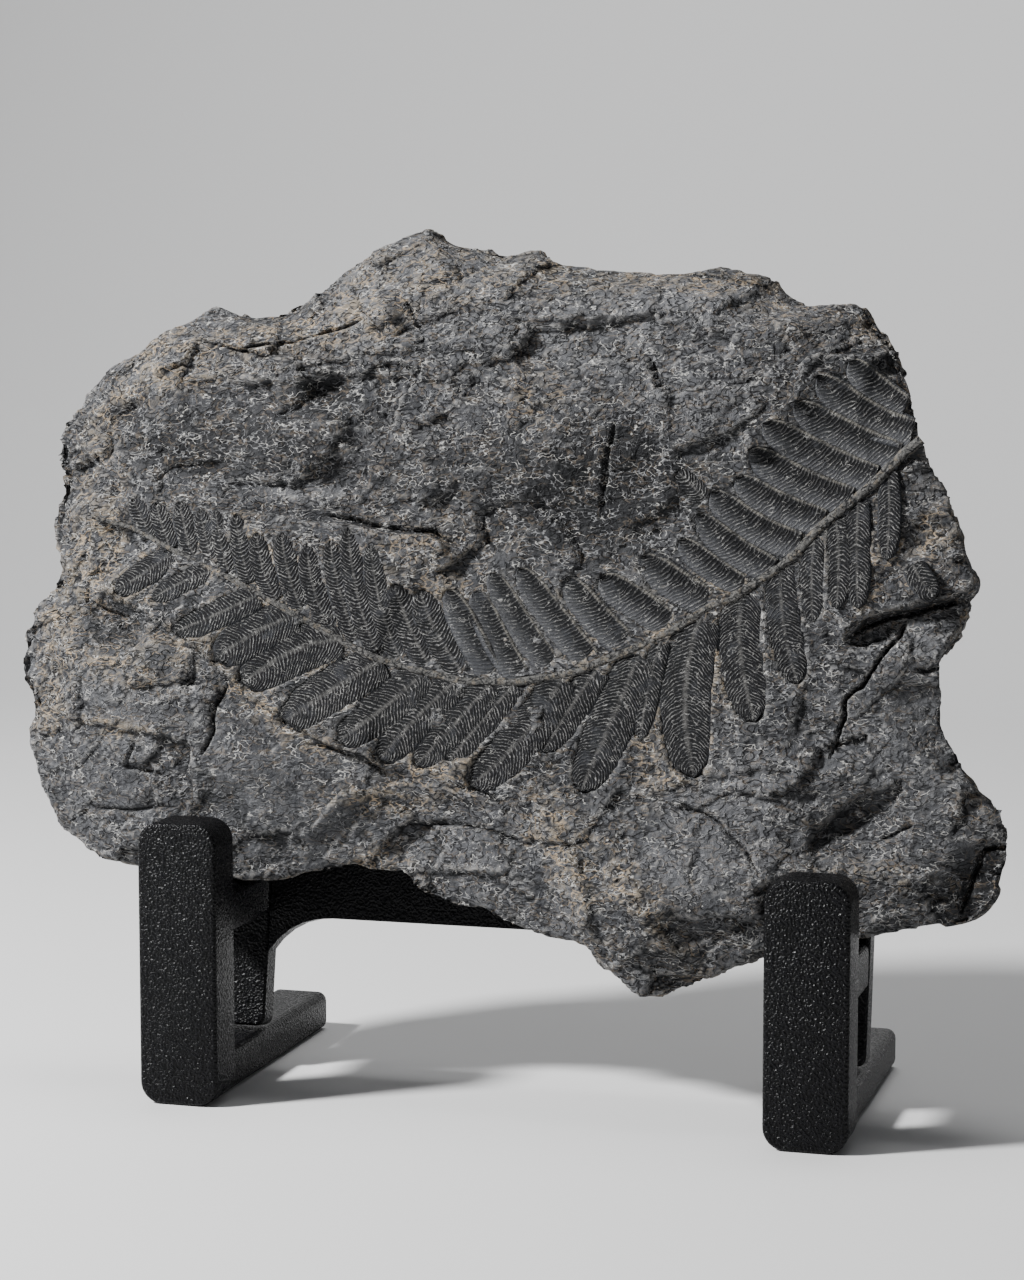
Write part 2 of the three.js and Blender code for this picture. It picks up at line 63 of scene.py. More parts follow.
# The slab's outline from the left, round the bottom: pixel x, y, and how far the face falls back there.
OUTLINE = [
    (61, 500, 9), (60, 512, 9), (55, 528, 9), (58, 545, 9), (59, 555, 9), (58, 568, 8), (57, 577, 8),
    (52, 585, 8), (46, 597, 8), (36, 602, 8), (31, 610, 7), (32, 622, 7), (25, 633, 7), (23, 648, 7),
    (20, 664, 7), (22, 678, 7), (30, 698, 7), (31, 718, 7), (28, 740, 7), (35, 763, 8), (41, 782, 9),
    (48, 798, 9), (57, 822, 10), (68, 833, 10), (80, 841, 10), (90, 852, 9), (104, 861, 9), (120, 864, 8),
    (136, 866, 8), (160, 869, 8), (195, 874, 8), (250, 881, 8), (280, 879, 8), (315, 872, 8), (330, 869, 8),
    (345, 867, 8), (356, 864, 8), (370, 869, 8), (400, 871, 8), (407, 878, 8), (415, 886, 8), (430, 896, 8),
    (460, 906, 8), (480, 909, 8), (500, 919, 8), (520, 929, 8), (545, 938, 8), (560, 940, 7), (590, 949, 7),
    (594, 958, 7), (600, 968, 7), (620, 980, 7), (634, 992, 7), (642, 1000, 8), (652, 1000, 8),
    (665, 996, 9), (685, 990, 9), (700, 980, 9), (725, 974, 9), (745, 965, 9), (763, 957, 9), (800, 950, 9),
    (862, 940, 9), (888, 935, 9), (900, 932, 9), (925, 929, 9), (958, 925, 9), (975, 919, 9), (985, 912, 9),
    (995, 900, 9), (999, 888, 9), (1003, 872, 9), (1008, 858, 9), (1009, 845, 9), (1008, 836, 8),
    (1003, 820, 8), (999, 808, 8), (990, 800, 8), (985, 795, 8), (973, 784, 8), (966, 776, 8),
    (960, 760, 8), (950, 748, 7), (943, 730, 7), (940, 718, 7), (943, 700, 7), (942, 680, 6), (943, 663, 6),
    (950, 652, 6), (952, 642, 6), (961, 626, 5), (965, 610, 5), (966, 600, 5), (976, 589, 4), (978, 582, 4),
    (970, 561, 4), (964, 535, 4), (958, 520, 4), (952, 500, 4), (945, 485, 4), (937, 473, 4), (930, 457, 4),
    (922, 440, 4), (915, 412, 4), (908, 390, 5), (901, 365, 6), (895, 346, 8), (887, 334, 9),
    (875, 325, 10), (865, 309, 11), (853, 301, 12), (835, 304, 13), (808, 305, 13), (795, 301, 14),
    (781, 290, 14), (777, 280, 14), (760, 272, 14), (740, 271, 14), (717, 266, 14), (690, 271, 14),
    (660, 272, 15), (630, 271, 15), (600, 268, 15), (562, 263, 15), (548, 256, 15), (532, 248, 15),
    (515, 253, 15), (495, 253, 15), (470, 248, 15), (445, 240, 15), (430, 231, 15), (410, 234, 15),
    (385, 246, 14), (365, 256, 14), (345, 270, 13), (325, 286, 13), (310, 296, 12), (290, 312, 12),
    (270, 317, 12), (240, 314, 12), (218, 310, 12), (200, 315, 12), (188, 323, 12), (164, 331, 12),
    (150, 343, 12), (140, 355, 12), (122, 361, 12), (106, 371, 12), (96, 384, 11), (78, 410, 11),
    (62, 428, 10), (57, 442, 10), (60, 460, 10), (66, 472, 9), (65, 482, 9),
]
OUTLINE_MIDDLE = (512, 440)
EDGE_BAND = 0.26  # the share of the way from the edge to the middle over which the face falls back
EDGE_CURVE = 1.6  # over 1, most of that fall comes near the edge

# The rim and the back: how far in from the outline, and what share of the thickness behind the face.
RIM = [(0, 0), (1, 0.12), (0, 0.3), (2.5, 0.45), (3, 0.62), (5.5, 0.8), (8, 0.93), (12, 1.0)]
BACK_ROOM = 1.2  # what the back's roughness may take of the thickness

# How finely the blank slab is drawn, the even squares that it is then remade of, and how near to a crack
# these are split.
SPOKES, FACE_ROWS, BACK_ROWS = 420, 60, 30
VOXEL = 1.38
CRACK_MARGIN = 2.6

# Lumps and hollows of the face: pixel x, y, half sizes across and up, turn in degrees, height.
LUMPS = [
    (120, 408, 10, 4.5, 12, -3), (328, 390, 12, 4.5, 6, -3.5), (165, 372, 12, 7, 20, 3),
    (330, 498, 16, 3.5, 4, 2.5), (425, 565, 14, 10, 0, 1.5), (622, 468, 10, 20, -8, -2),
    (185, 462, 18, 4, -12, -2.5), (382, 315, 6, 5, 0, 2), (690, 385, 42, 20, 0, 3),
    (840, 430, 24, 24, 0, -4), (930, 648, 12, 7, 12, 3.5), (858, 822, 20, 10, 22, -7),
    (880, 872, 18, 4, -8, 3.5), (985, 835, 10, 14, -20, 3), (968, 888, 7, 12, -12, -4),
    (572, 880, 6, 20, 20, 3.5), (645, 910, 5, 24, 42, 3.5), (112, 630, 11, 8, -20, -6),
    (100, 765, 22, 20, 0, 3), (218, 722, 5, 14, -10, -1.2), (410, 830, 24, 10, 4, -4),
    (700, 880, 26, 18, 20, 2.5), (560, 330, 60, 14, 0, 2), (250, 440, 40, 18, 0, 2.5),
    (470, 450, 40, 20, 0, 2),
]

# Small forms that only the fine surface shows, in the same terms.
SMALL_LUMPS = [
    (372, 322, 4, 2.5, 30, 1.4), (392, 312, 3, 4, 0, 1.2), (416, 272, 3, 3, 0, 1.2),
    (520, 390, 6, 4, 10, 1.4), (545, 405, 4, 3, 0, 1.0), (300, 500, 8, 2, -10, 1.2),
    (640, 582, 6, 3, 20, 1.0), (905, 815, 8, 5, 20, 1.5), (845, 770, 10, 5, 30, 1.2),
    (770, 800, 12, 6, 0, 1.0), (345, 800, 10, 4, 30, 1.4), (455, 772, 9, 4, 10, 1.6),
    (560, 925, 9, 8, 0, 1.2), (250, 760, 18, 12, 0, 1.2), (150, 700, 12, 6, 0, 1.4),
    (60, 640, 6, 8, 0, 1.6), (190, 345, 10, 4, 20, 1.6), (440, 300, 14, 8, 20, 1.6),
    (800, 330, 12, 5, 0, 1.2), (925, 535, 8, 10, 0, 0.9),
]

# Ledges: the side to the left of the line, as it is read, stands higher by rise and fades out.
LEDGES = [
    (3.5, 34, [(459, 552), (431, 534), (399, 531), (353, 523), (235, 511), (205, 505)]),
    (3, 26, [(90, 590), (145, 615), (200, 650), (250, 700), (320, 742), (380, 768)]),
    (5, 30, [(836, 650), (853, 634), (869, 623), (901, 615), (950, 598), (980, 592), (1010, 588)]),
    (4, 26, [(890, 345), (850, 351), (800, 355), (787, 395), (745, 440), (742, 470)]),
    (3, 24, [(35, 708), (80, 720), (160, 738), (192, 748), (190, 810)]),
]
SMALL_LEDGES = [
    (1.8, 14, [(180, 380), (240, 385), (300, 386), (350, 376), (430, 380), (500, 386), (530, 405)]),
    (1.4, 10, [(940, 865), (900, 878), (862, 868)]),
    (1.6, 9, [(965, 893), (930, 903), (885, 912), (865, 925)]),
    (1.6, 12, [(520, 820), (500, 800), (440, 783), (400, 780), (340, 790), (300, 835)]),
    (1.5, 10, [(597, 945), (590, 900), (580, 850), (540, 815)]),
    (1.5, 12, [(685, 960), (670, 940), (640, 905), (600, 855)]),
    (1.2, 10, [(340, 330), (300, 338), (265, 345), (240, 355)]),
    (1.5, 12, [(80, 480), (85, 520), (82, 570), (88, 640), (100, 660), (180, 680)]),
    (1.3, 12, [(690, 575), (660, 565), (640, 558), (612, 575), (600, 590)]),
    (3.0, 9, [(800, 862), (812, 838), (835, 815), (860, 797), (905, 786)]),
    (2.0, 7, [(97, 426), (112, 408), (146, 397)]),
    (2.5, 8, [(294, 394), (310, 383), (350, 376)]),
    (1.6, 6, [(360, 329), (385, 327), (412, 321)]),
    (2.2, 12, [(150, 380), (182, 364), (215, 372), (250, 388), (300, 372), (356, 359), (445, 350),
        (520, 352)]),
    (1.6, 10, [(450, 300), (500, 318), (560, 322), (640, 318), (700, 330)]),
    (1.6, 12, [(640, 800), (700, 780), (760, 770), (810, 775)]),
    (1.6, 9, [(330, 900), (380, 880), (440, 872), (500, 880), (540, 905)]),
]
LEDGE_WIDTH, SMALL_LEDGE_WIDTH = 1.4, 1.0
LEDGE_END = 4  # how far from a line's ends its step has its full height

# Cracks: half width, depth and line.
CRACKS = [
    (1.2, 4.5, [(972, 592), (946, 602), (915, 611), (889, 615), (861, 625), (850, 636)]),
    (0.5, 4.0, [(905, 618), (896, 640), (876, 663), (860, 686), (846, 698), (841, 720), (836, 740),
        (829, 758)]),
    (0.5, 2.5, [(228, 685), (217, 705), (213, 735), (203, 760)]),
    (1.0, 3.0, [(459, 546), (431, 533), (399, 530), (353, 521), (330, 516)]),
    (0.9, 2.4, [(948, 656), (941, 665), (927, 670), (911, 668)]),
    (0.8, 2.0, [(620, 420), (612, 445), (607, 470), (604, 495), (600, 520)]),
    (0.7, 1.6, [(450, 258), (456, 272), (461, 285)]),
    (0.7, 1.8, [(670, 800), (700, 812), (720, 825), (745, 850), (760, 875)]),
    (0.7, 1.8, [(400, 825), (430, 823), (460, 824), (500, 835), (535, 846)]),
    (0.7, 1.8, [(88, 806), (120, 809), (150, 808), (175, 806)]),
    (0.5, 2.0, [(876, 840), (890, 836), (910, 825)]),
    (0.8, 4.5, [(1012, 851), (995, 846), (981, 850), (971, 870), (962, 895), (954, 918)]),
    (0.5, 2.2, [(229, 351), (262, 346), (296, 342), (330, 330), (364, 317)]),
    (0.5, 1.8, [(405, 300), (415, 315), (424, 332)]),
    (0.6, 1.5, [(620, 700), (615, 690)]),
    (0.8, 2.2, [(305, 742), (335, 748), (365, 758), (392, 780)]),
    (0.7, 1.6, [(455, 786), (480, 790), (505, 804)]),
    (0.7, 1.8, [(85, 600), (110, 612), (135, 622), (140, 634)]),
    (0.7, 1.6, [(140, 740), (128, 765), (150, 772), (170, 778)]),
]
CRACK_EDGE = 0.35  # how far a crack's lips are rounded back
SWELL = 1.7  # height of the face's wide swells

# Bedding: steps to one whole rise of the noise, height of that rise, and the share of a step that is flat.
BEDS, BED_RISE, BED_FLAT = 5.5, 3.2, 0.86
GRAIN_TURN = math.radians(14)
CHIP_HEIGHTS = (1.5, 0.5, 0.2)  # large, medium and small chips
FLATTER_NEAR, FLATTER_CALM = 0.72, 0.65  # the share of all this that is missing by the frond and where smooth
EDGE_RIDGE, EDGE_WAVER = 0.15, 0.3  # the low ridge of stone along the frond's edge, and how much it varies

# The broken rim and back: height of its rubble, plates and blocks, how far all of it is set back, the most
# that it stands out, and how much less it does so where the stand carries it.
RUBBLE, PLATES, BLOCKS, SET_BACK = 1.5, 1.0, 0.8, 0.9
MOST_OUT, LESS_CARRIED = 1.6, 1.2
PLATE_SIZE = (15, 15, 3.4)  # across, up and through the slab

# Tan weathering: pixel x, y, half sizes across and up, turn in degrees, strength.
TAN_SPOTS = [
    (165, 370, 14, 8, 20, 1.0), (425, 565, 17, 13, 0, 0.55), (108, 520, 5, 16, 0, 0.7),
    (100, 560, 7, 14, 0, 0.8), (120, 665, 14, 5, -12, 0.9), (165, 650, 12, 8, 0, 0.5),
    (240, 625, 14, 4, 25, 0.7), (250, 695, 14, 4, -38, 0.8), (310, 740, 14, 3, -22, 0.6),
    (110, 725, 16, 3, -10, 0.7), (450, 770, 12, 6, 0, 0.8), (385, 800, 14, 5, 0, 0.7),
    (570, 860, 6, 22, 20, 0.8), (640, 900, 5, 24, 42, 0.7), (650, 710, 5, 22, 0, 0.7),
    (665, 760, 5, 12, 30, 0.6), (930, 540, 8, 14, 0, 0.5), (875, 560, 3, 16, 0, 0.5),
    (60, 620, 8, 18, 0, 0.8), (45, 700, 6, 12, 0, 0.6), (150, 345, 10, 8, 0, 0.6),
    (380, 315, 12, 8, 0, 0.7), (540, 265, 12, 6, 0, 0.6), (540, 400, 10, 12, 30, 0.4),
    (450, 270, 14, 10, 0, 0.5), (330, 330, 26, 8, 20, 0.35), (780, 300, 12, 8, 0, 0.5),
    (710, 275, 20, 5, 0, 0.5), (865, 320, 8, 5, 0, 0.6), (880, 875, 18, 4, -8, 0.35),
    (600, 280, 30, 6, 0, 0.4), (985, 810, 8, 6, 0, 0.3), (250, 335, 26, 7, 18, 0.5),
    (120, 395, 14, 6, 35, 0.5), (330, 305, 26, 7, 32, 0.5), (410, 250, 22, 6, 0, 0.35),
    (90, 440, 6, 16, -20, 0.4), (75, 500, 5, 20, 0, 0.5), (380, 860, 12, 4, 0, 0.5),
    (545, 830, 8, 6, 0, 0.5), (815, 550, 6, 10, 0, 0.4), (712, 660, 3, 14, 0, 0.7),
]

# Dark, pale, smooth and scarred places of the face, in the same terms. The dark spots are partly the stone's
# own dark patches and partly painted shade in hollows and under ledges.
DARK_SPOTS = [
    (120, 408, 10, 5, 12, 0.8), (328, 390, 13, 5, 6, 0.9), (622, 468, 16, 22, -8, 0.9),
    (560, 540, 24, 14, 0, 0.35), (112, 632, 12, 8, -20, 0.8), (858, 822, 22, 10, 22, 0.6),
    (968, 888, 8, 12, -12, 0.8), (690, 485, 12, 8, 0, 0.5), (400, 520, 20, 3, -8, 0.5),
    (990, 865, 6, 8, 0, 0.5), (790, 390, 6, 12, 0, 0.5), (270, 512, 18, 3, 0, 0.6),
    (230, 435, 36, 12, 10, 0.7), (500, 455, 44, 14, 0, 0.55), (188, 465, 18, 4, -12, 0.6),
    (403, 308, 5, 4, 0, 0.6), (320, 405, 20, 5, 0, 0.3), (590, 500, 30, 14, 0, 0.45),
    (620, 350, 24, 7, 10, 0.3), (895, 905, 30, 6, 12, 0.45), (180, 430, 22, 9, 12, 0.35),
    (290, 462, 26, 10, 8, 0.4), (520, 520, 30, 14, 0, 0.3), (400, 480, 30, 8, 0, 0.3),
]
# Pale spots are mostly the stone's own paler patches; those on the right below the big ledge are painted
# light.
PALE_SPOTS = [
    (380, 290, 30, 14, 20, 0.7), (700, 400, 26, 9, 0, 0.7), (700, 860, 22, 14, 20, 0.6),
    (480, 405, 24, 6, 0, 0.5), (160, 690, 18, 10, 0, 0.5), (320, 835, 14, 16, 0, 0.5),
    (200, 470, 24, 8, 15, 0.4), (470, 860, 16, 10, 0, 0.4), (120, 760, 22, 16, 0, 0.4),
    (900, 690, 14, 20, 0, 0.4), (925, 850, 16, 8, 0, 0.4), (640, 300, 34, 10, 0, 0.5),
    (860, 330, 10, 8, 0, 0.4), (120, 390, 16, 10, 30, 0.5), (330, 505, 20, 3, -6, 0.6),
    (640, 575, 8, 4, 20, 0.8), (740, 790, 26, 12, 10, 0.9), (760, 860, 20, 10, 10, 0.8),
    (560, 335, 60, 12, 0, 1.0), (905, 740, 18, 24, 0, 1.0), (310, 492, 14, 4, 0, 0.8),
    (380, 316, 6, 4, 0, 0.9), (340, 290, 30, 8, 30, 0.6), (460, 262, 30, 7, 0, 0.6),
    (700, 300, 40, 8, 0, 0.6), (900, 868, 20, 4, 8, 0.7), (700, 395, 22, 10, 0, 0.5),
    (930, 700, 10, 24, 0, 0.5), (170, 372, 16, 6, 20, 0.8), (430, 560, 12, 9, 0, 0.7),
    (400, 750, 16, 8, 0, 0.5), (560, 860, 8, 20, 20, 0.6),
]
SMOOTH_SPOTS = [
    (250, 735, 16, 16, -20, 0.8), (330, 800, 14, 10, 0, 0.5), (130, 715, 16, 8, -8, 0.6),
    (110, 790, 14, 8, 0, 0.5), (285, 790, 30, 20, -8, 1.0), (100, 775, 20, 16, 0, 0.7),
    (700, 865, 24, 16, 20, 0.8), (905, 735, 14, 22, 0, 0.8), (925, 840, 20, 8, 0, 0.6),
    (690, 470, 16, 8, 0, 0.5), (250, 440, 30, 8, 12, 0.4), (520, 870, 20, 16, 0, 0.5),
]
SCARRED = [(622, 455, 14, 26, -8, 1.0), (500, 430, 30, 10, 0, 0.4), (690, 430, 22, 10, 0, 0.4)]

# The frond: its rachis from left to right, and each leaflet's foot, middle, tip and width. Blades show both
# halves, and bands are folded over along their upper edge.
RACHIS = [
    (92, 517), (130, 527), (150, 537), (175, 551), (200, 562), (240, 582), (280, 605), (320, 627),
    (353, 647), (376, 658), (399, 665), (429, 673), (459, 680), (491, 682), (514, 682), (537, 679),
    (560, 675), (583, 669), (606, 660), (629, 651), (651, 641), (674, 629), (706, 609), (730, 598),
    (753, 584), (776, 569), (799, 551), (822, 526), (841, 510), (857, 497), (881, 476), (901, 456),
    (921, 439),
]
BLADES = [
    ((150, 538), (143, 520), (132, 499), 22), ((172, 549), (164, 528), (156, 503), 22),
    ((197, 558), (187, 530), (181, 502), 22), ((216, 564), (208, 538), (202, 510), 20),
    ((233, 572), (225, 542), (221, 511), 22), ((255, 583), (246, 552), (241, 516), 22),
    ((281, 600), (267, 570), (262, 534), 24), ((306, 614), (293, 576), (286, 534), 24),
    ((335, 632), (317, 592), (311, 545), 24), ((357, 640), (342, 594), (333, 541), 24),
    ((378, 650), (360, 600), (351, 528), 26), ((400, 658), (382, 606), (373, 540), 24),
    ((430, 666), (409, 626), (396, 585), 32), ((462, 672), (436, 632), (420, 590), 34),
    ((172, 553), (148, 572), (118, 592), 30), ((215, 572), (185, 583), (155, 600), 26),
    ((262, 596), (222, 615), (176, 634), 32), ((300, 616), (262, 632), (220, 660), 44),
    ((345, 640), (300, 650), (246, 684), 50), ((382, 660), (335, 690), (284, 724), 48),
    ((424, 672), (380, 712), (342, 742), 43), ((458, 680), (420, 715), (380, 760), 40),
    ((490, 684), (455, 725), (415, 765), 37), ((515, 684), (482, 722), (448, 762), 34),
    ((562, 678), (522, 738), (470, 786), 46), ((598, 668), (572, 705), (543, 752), 36),
    ((640, 652), (618, 705), (580, 792), 48), ((660, 640), (648, 690), (640, 740), 24),
    ((700, 618), (685, 690), (694, 778), 52), ((742, 590), (740, 655), (756, 722), 44),
    ((780, 566), (783, 625), (798, 684), 34), ((815, 540), (812, 580), (812, 622), 26),
    ((836, 520), (840, 560), (838, 610), 24), ((858, 502), (858, 550), (860, 610), 26),
    ((888, 472), (890, 520), (888, 562), 22), ((705, 503), (695, 488), (678, 472), 22),
    ((915, 566), (925, 584), (938, 598), 24),
]
BANDS = [
    ((492, 676), (470, 635), (447, 590), 30), ((520, 676), (497, 640), (474, 590), 30),
    ((552, 668), (520, 625), (490, 572), 30), ((590, 660), (555, 620), (518, 568), 32),
    ((625, 645), (590, 610), (565, 578), 32), ((670, 626), (632, 600), (600, 578), 34),
    ((712, 605), (672, 582), (640, 557), 34), ((745, 588), (708, 565), (680, 540), 26),
    ((772, 570), (728, 545), (697, 515), 30), ((800, 545), (750, 525), (712, 492), 32),
    ((825, 522), (775, 505), (737, 478), 32), ((852, 500), (800, 483), (752, 452), 34),
    ((876, 478), (825, 460), (765, 425), 34), ((900, 455), (850, 438), (795, 405), 34),
    ((912, 432), (865, 415), (818, 378), 34), ((905, 406), (880, 391), (850, 362), 28),
]
LEAFLET_WIDTHS = ([0, 0.1, 0.4, 0.72, 0.86, 0.95, 1.0], [0.82, 0.95, 1.04, 1.0, 0.84, 0.55, 0.0])
LEAFLET_SPREAD = 0.53  # half of a leaflet's read width, and the little more that lies under its torn edge
SPINE_POINTS = 24
BLADE_COLUMNS, BAND_COLUMNS = 12, 10
VEIN_SPACING, VEIN_HEIGHT, ROWS_PER_VEIN = 1.2, 0.2, 4
VEIN_LEAN = 0.8  # how far a vein runs towards the tip while it crosses half a leaflet, in half widths
PILLOW, MIDRIB, MIDRIB_WIDTH = 0.2, 0.26, 0.06  # heights of a blade's halves and midrib, and the rib's width
BLADE_TILT, BLADE_DROP = 0.25, 0.5  # how much higher one side lies, and how far the very edge drops
FOLD = ([0, 0.05, 0.11, 0.2, 0.34, 0.5, 0.75, 0.93, 1], [-0.6, 0.9, 1.2, 0.35, -0.5, -0.45, 0.1, 0.55, 0])
FOLD_CREST, FOLD_SHADE = -0.76, -0.4  # where a band's crest and its trough of painted shade run, from -1 at its upper edge to 1
RIB_WIDTH, SHADE_WIDTH = 0.07, 0.32  # of their colours, in half widths
RACHIS_WIDTHS = ([0, 0.1, 0.4, 0.8, 1], [0.65, 0.85, 1.2, 1.4, 1.55])
RACHIS_HEIGHT = 1.1
RACHIS_COLUMNS, RACHIS_ROWS = 10, 620
LEAFLET_SINK, RACHIS_SINK = 0.1, 0.05  # how far they lie below the face that they follow
SKIRT = 1.6  # how deep a leaflet's edge goes into the stone
BED_DEPTH, BED_COVER = 2.4, 1.9  # how far the stone is sunk under the frond, and how much less where it shows

# Colours as linear red, green and blue.
# Deep slate, also used as painted shade in hollows, cracks and along flakes.
SLATE_DEEP_AND_SHADE = (0.007, 0.0075, 0.0085)
SLATE = (0.038, 0.040, 0.045)
# Pale slate, also a painted highlight on the folded leaflets' rising side.
SLATE_PALE_AND_HIGHLIGHT = (0.125, 0.128, 0.137)
SLATE_CLOUD = (0.15, 0.152, 0.16)
SLATE_WORN = (0.24, 0.238, 0.235)
# A painted highlight along the flakes' edges.
FLAKE_HIGHLIGHT = (0.26, 0.262, 0.268)
FLECK = (0.50, 0.49, 0.465)
WEATHERED = (0.19, 0.162, 0.125)
RUST = (0.36, 0.275, 0.185)
# The film's dark, also painted shade in the folded leaflets' troughs.
FILM_DARK_AND_SHADE, FILM, FILM_DUSTY = (0.003, 0.0031, 0.0036), (0.012, 0.0125, 0.0135), (0.034, 0.035, 0.038)
# Pale veins are partly their own colour and partly painted highlight.
VEIN_DULL, VEIN_PALE_AND_HIGHLIGHT = (0.05, 0.052, 0.057), (0.27, 0.267, 0.258)
# The crest tint is partly a paler edge and partly painted highlight.
MIDRIB_TINT, CREST_TINT_AND_HIGHLIGHT = (0.1, 0.098, 0.094), (0.25, 0.235, 0.205)
BARK = (0.155, 0.151, 0.143)
COAT_DARK, COAT_GREY = (0.001, 0.001, 0.0012), (0.005, 0.005, 0.006)
FLOOR_GREY = (0.62, 0.62, 0.62, 1)

# Strokes on the slate: size and width in mm, squeeze along each axis, and the noise where they set in and
# are full.
# The shadow and light strokes are painted shadow and painted highlight along the flakes.
SHADOW_STROKES = (2.4, 0.075, (0.85, 1.35, 1.4), 0.4, 0.47)
LIGHT_STROKES = (2.0, 0.05, (0.8, 1.2, 1.5), 0.46, 0.52)
TAN_STROKES = (2.8, 0.045, (0.8, 1.1, 1.4), 0.46, 0.53)
FLECK_STROKES = (2.2, 0.03, (0.8, 1.1, 1.5), 0.53, 0.57)
BARK_STROKES = (1.5, 0.1, (1, 1.35, 1.2), 0.42, 0.5)

# The front posts: the radius of their corners and of their soft edges. An edge counts as one that runs from
# front to back over the first share, and as sharp over the second number, in radians.
POST_CORNER, POST_EDGE = 7, 1.3
FRONT_TO_BACK, SHARP = 0.9, 1.2
PLAIN_BARS = ("left_foot", "right_foot", "left_arm", "right_arm", "left_back_rest", "right_back_rest",
              "cross_rail")

# The studio: half the floor's width in metres and its rows, and where it begins to curve up and how wide.
FLOOR_SIZE, FLOOR_ROWS = 3.2, 80
SWEEP_START, SWEEP_RADIUS = 0.9, 1.0
SKY, SKY_STRENGTH = (0.9, 0.93, 1.0, 1), 0.08

forward = Vector((-math.sin(AZIMUTH) * math.cos(ELEVATION), math.cos(AZIMUTH) * math.cos(ELEVATION),
                  -math.sin(ELEVATION)))
view_right = Vector((math.cos(AZIMUTH), math.sin(AZIMUTH), 0))
view_up = view_right.cross(forward)
face_up = Vector((0, math.sin(LEAN), math.cos(LEAN)))
face_out = Vector((0, -math.cos(LEAN), math.sin(LEAN)))
post_low, post_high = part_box("left_front_post")
face_middle = Vector(((post_low[0] + post_high[0]) / 2 + POST_TO_MIDDLE[0] * MM,
                      post_low[1] + POST_TO_MIDDLE[1] * MM, FACE_HEIGHT * MM))

# Large odd numbers that scatter seeds and cells.
SEED_STEP, CELL_STEPS, MIXER = 2654435, (73856093, 19349663, 83492791), 1274126177

# Lamps: name, place, what they aim at, width and power.
LAMPS = [
    ("key_light", (-0.85, -0.6, 0.95), face_middle, 0.18, 52),
    ("fill_light", (1.0, -1.2, 0.5), face_middle, 1.0, 0.8),
    ("backdrop_light", (0.0, 0.5, 2.2), (0.0, 2.0, 0.5), 1.2, 30),
]


def on_face(pixels, behind=0.0):
    """Places of pixels of the photograph on the face plane, or behind it, in mm from its middle."""
    pixels = np.asarray(pixels, float).reshape(-1, 2)
    right, up, ahead, out = (np.array(v) for v in (view_right, view_up, forward, face_out))
    rays = ahead * FOCAL + np.outer(pixels[:, 0] - PICTURE_MIDDLE[0], right)
    rays += np.outer(PICTURE_MIDDLE[1] - pixels[:, 1], up)
    eye = -ahead * DISTANCE
    hits = eye + rays * (-(eye @ out + behind) / (rays @ out))[:, None]
    return np.column_stack((hits[:, 0], hits @ np.array(face_up)))


def in_frame(across, up, out):
    """Face coordinates in mm as points of the frame in metres."""
    points = np.outer(across, (1, 0, 0)) + np.outer(up, face_up) + np.outer(out, face_out)
    return points * MM + np.array(face_middle)


def on_slab(points):
    """Points of the frame in metres as face coordinates in mm: across, up, out."""
    away = (points - np.array(face_middle)) / MM
    return away[:, 0], away @ np.array(face_up), away @ np.array(face_out)


def scatter(cells, seed):
    """Repeatable numbers from -1 to 1 for whole-numbered cells."""
    mixed = seed * SEED_STEP
    for i, step in enumerate(CELL_STEPS):
        mixed = mixed ^ cells[..., i] * step
    mixed = (mixed ^ (mixed >> 13)) * MIXER & 0x7FFFFFFF
    return ((mixed ^ (mixed >> 16)) & 0xFFFF) / 32767.5 - 1


def noise(points, size, seed=0):
    """Smooth noise from -1 to 1 with bumps about size wide, at points of two or three coordinates."""
    points = np.atleast_2d(points) / size
    if points.shape[1] == 2:
        points = np.column_stack((points, np.full(len(points), 0.37)))
    cells = np.floor(points).astype(np.int64)
    share = points - cells
    share = share * share * (3 - 2 * share)
    total = np.zeros(len(points))
    for corner in np.ndindex(2, 2, 2):
        weight = np.prod(np.where(corner, share, 1 - share), axis=1)
        total += weight * scatter(cells + np.array(corner), seed)
    return total


def layered_noise(points, size, layers, seed=0):
    """Noise in layers, each half as wide and half as high as the last."""
    return sum(noise(points, size / 2 ** i, seed + i) / 2 ** i for i in range(layers))


def chips(points, size, seed, tilt=1.0):
    """Heights of flat, tilted chips of broken stone about size wide, from -1 to 1 and a little past it."""
    points = points / size
    base = np.floor(points).astype(np.int64)
    nearest = np.full(len(points), np.inf)
    height = np.zeros(len(points))
    for step in np.ndindex(*(3,) * points.shape[1]):
        cell = base + np.array(step) - 1
        key = cell if cell.shape[1] == 3 else np.column_stack((cell, np.zeros(len(cell), np.int64)))
        middle = np.column_stack([0.5 + 0.42 * scatter(key, seed + i) for i in range(points.shape[1])])
        gap = points - cell - middle
        away = (gap ** 2).sum(axis=1)
        slope = np.column_stack([scatter(key, seed + 5 + i) for i in range(points.shape[1])])
        level = scatter(key, seed + 4) + tilt * (gap * slope).sum(axis=1)
        height = np.where(away < nearest, level, height)
        nearest = np.minimum(nearest, away)
    return height


def ease(value, low, high):
    """0 up to low, 1 from high, and a smooth rise between them."""
    share = np.clip((value - low) / (high - low), 0, 1)
    return share * share * (3 - 2 * share)


def warped(points, reach, size, seed):
    """Points shifted by up to reach, so that what is made on them loses its straight lines."""
    shift = [noise(points, size, seed + i) for i in range(points.shape[1])]
    return points + reach * np.column_stack(shift)


def along_grain(points, stretch):
    """Points turned and squeezed, so that forms made on them run long, a little up to the right."""
    cos, sin = math.cos(GRAIN_TURN), math.sin(GRAIN_TURN)
    return np.column_stack(((points[:, 0] * cos + points[:, 1] * sin) / stretch,
                            points[:, 1] * cos - points[:, 0] * sin))


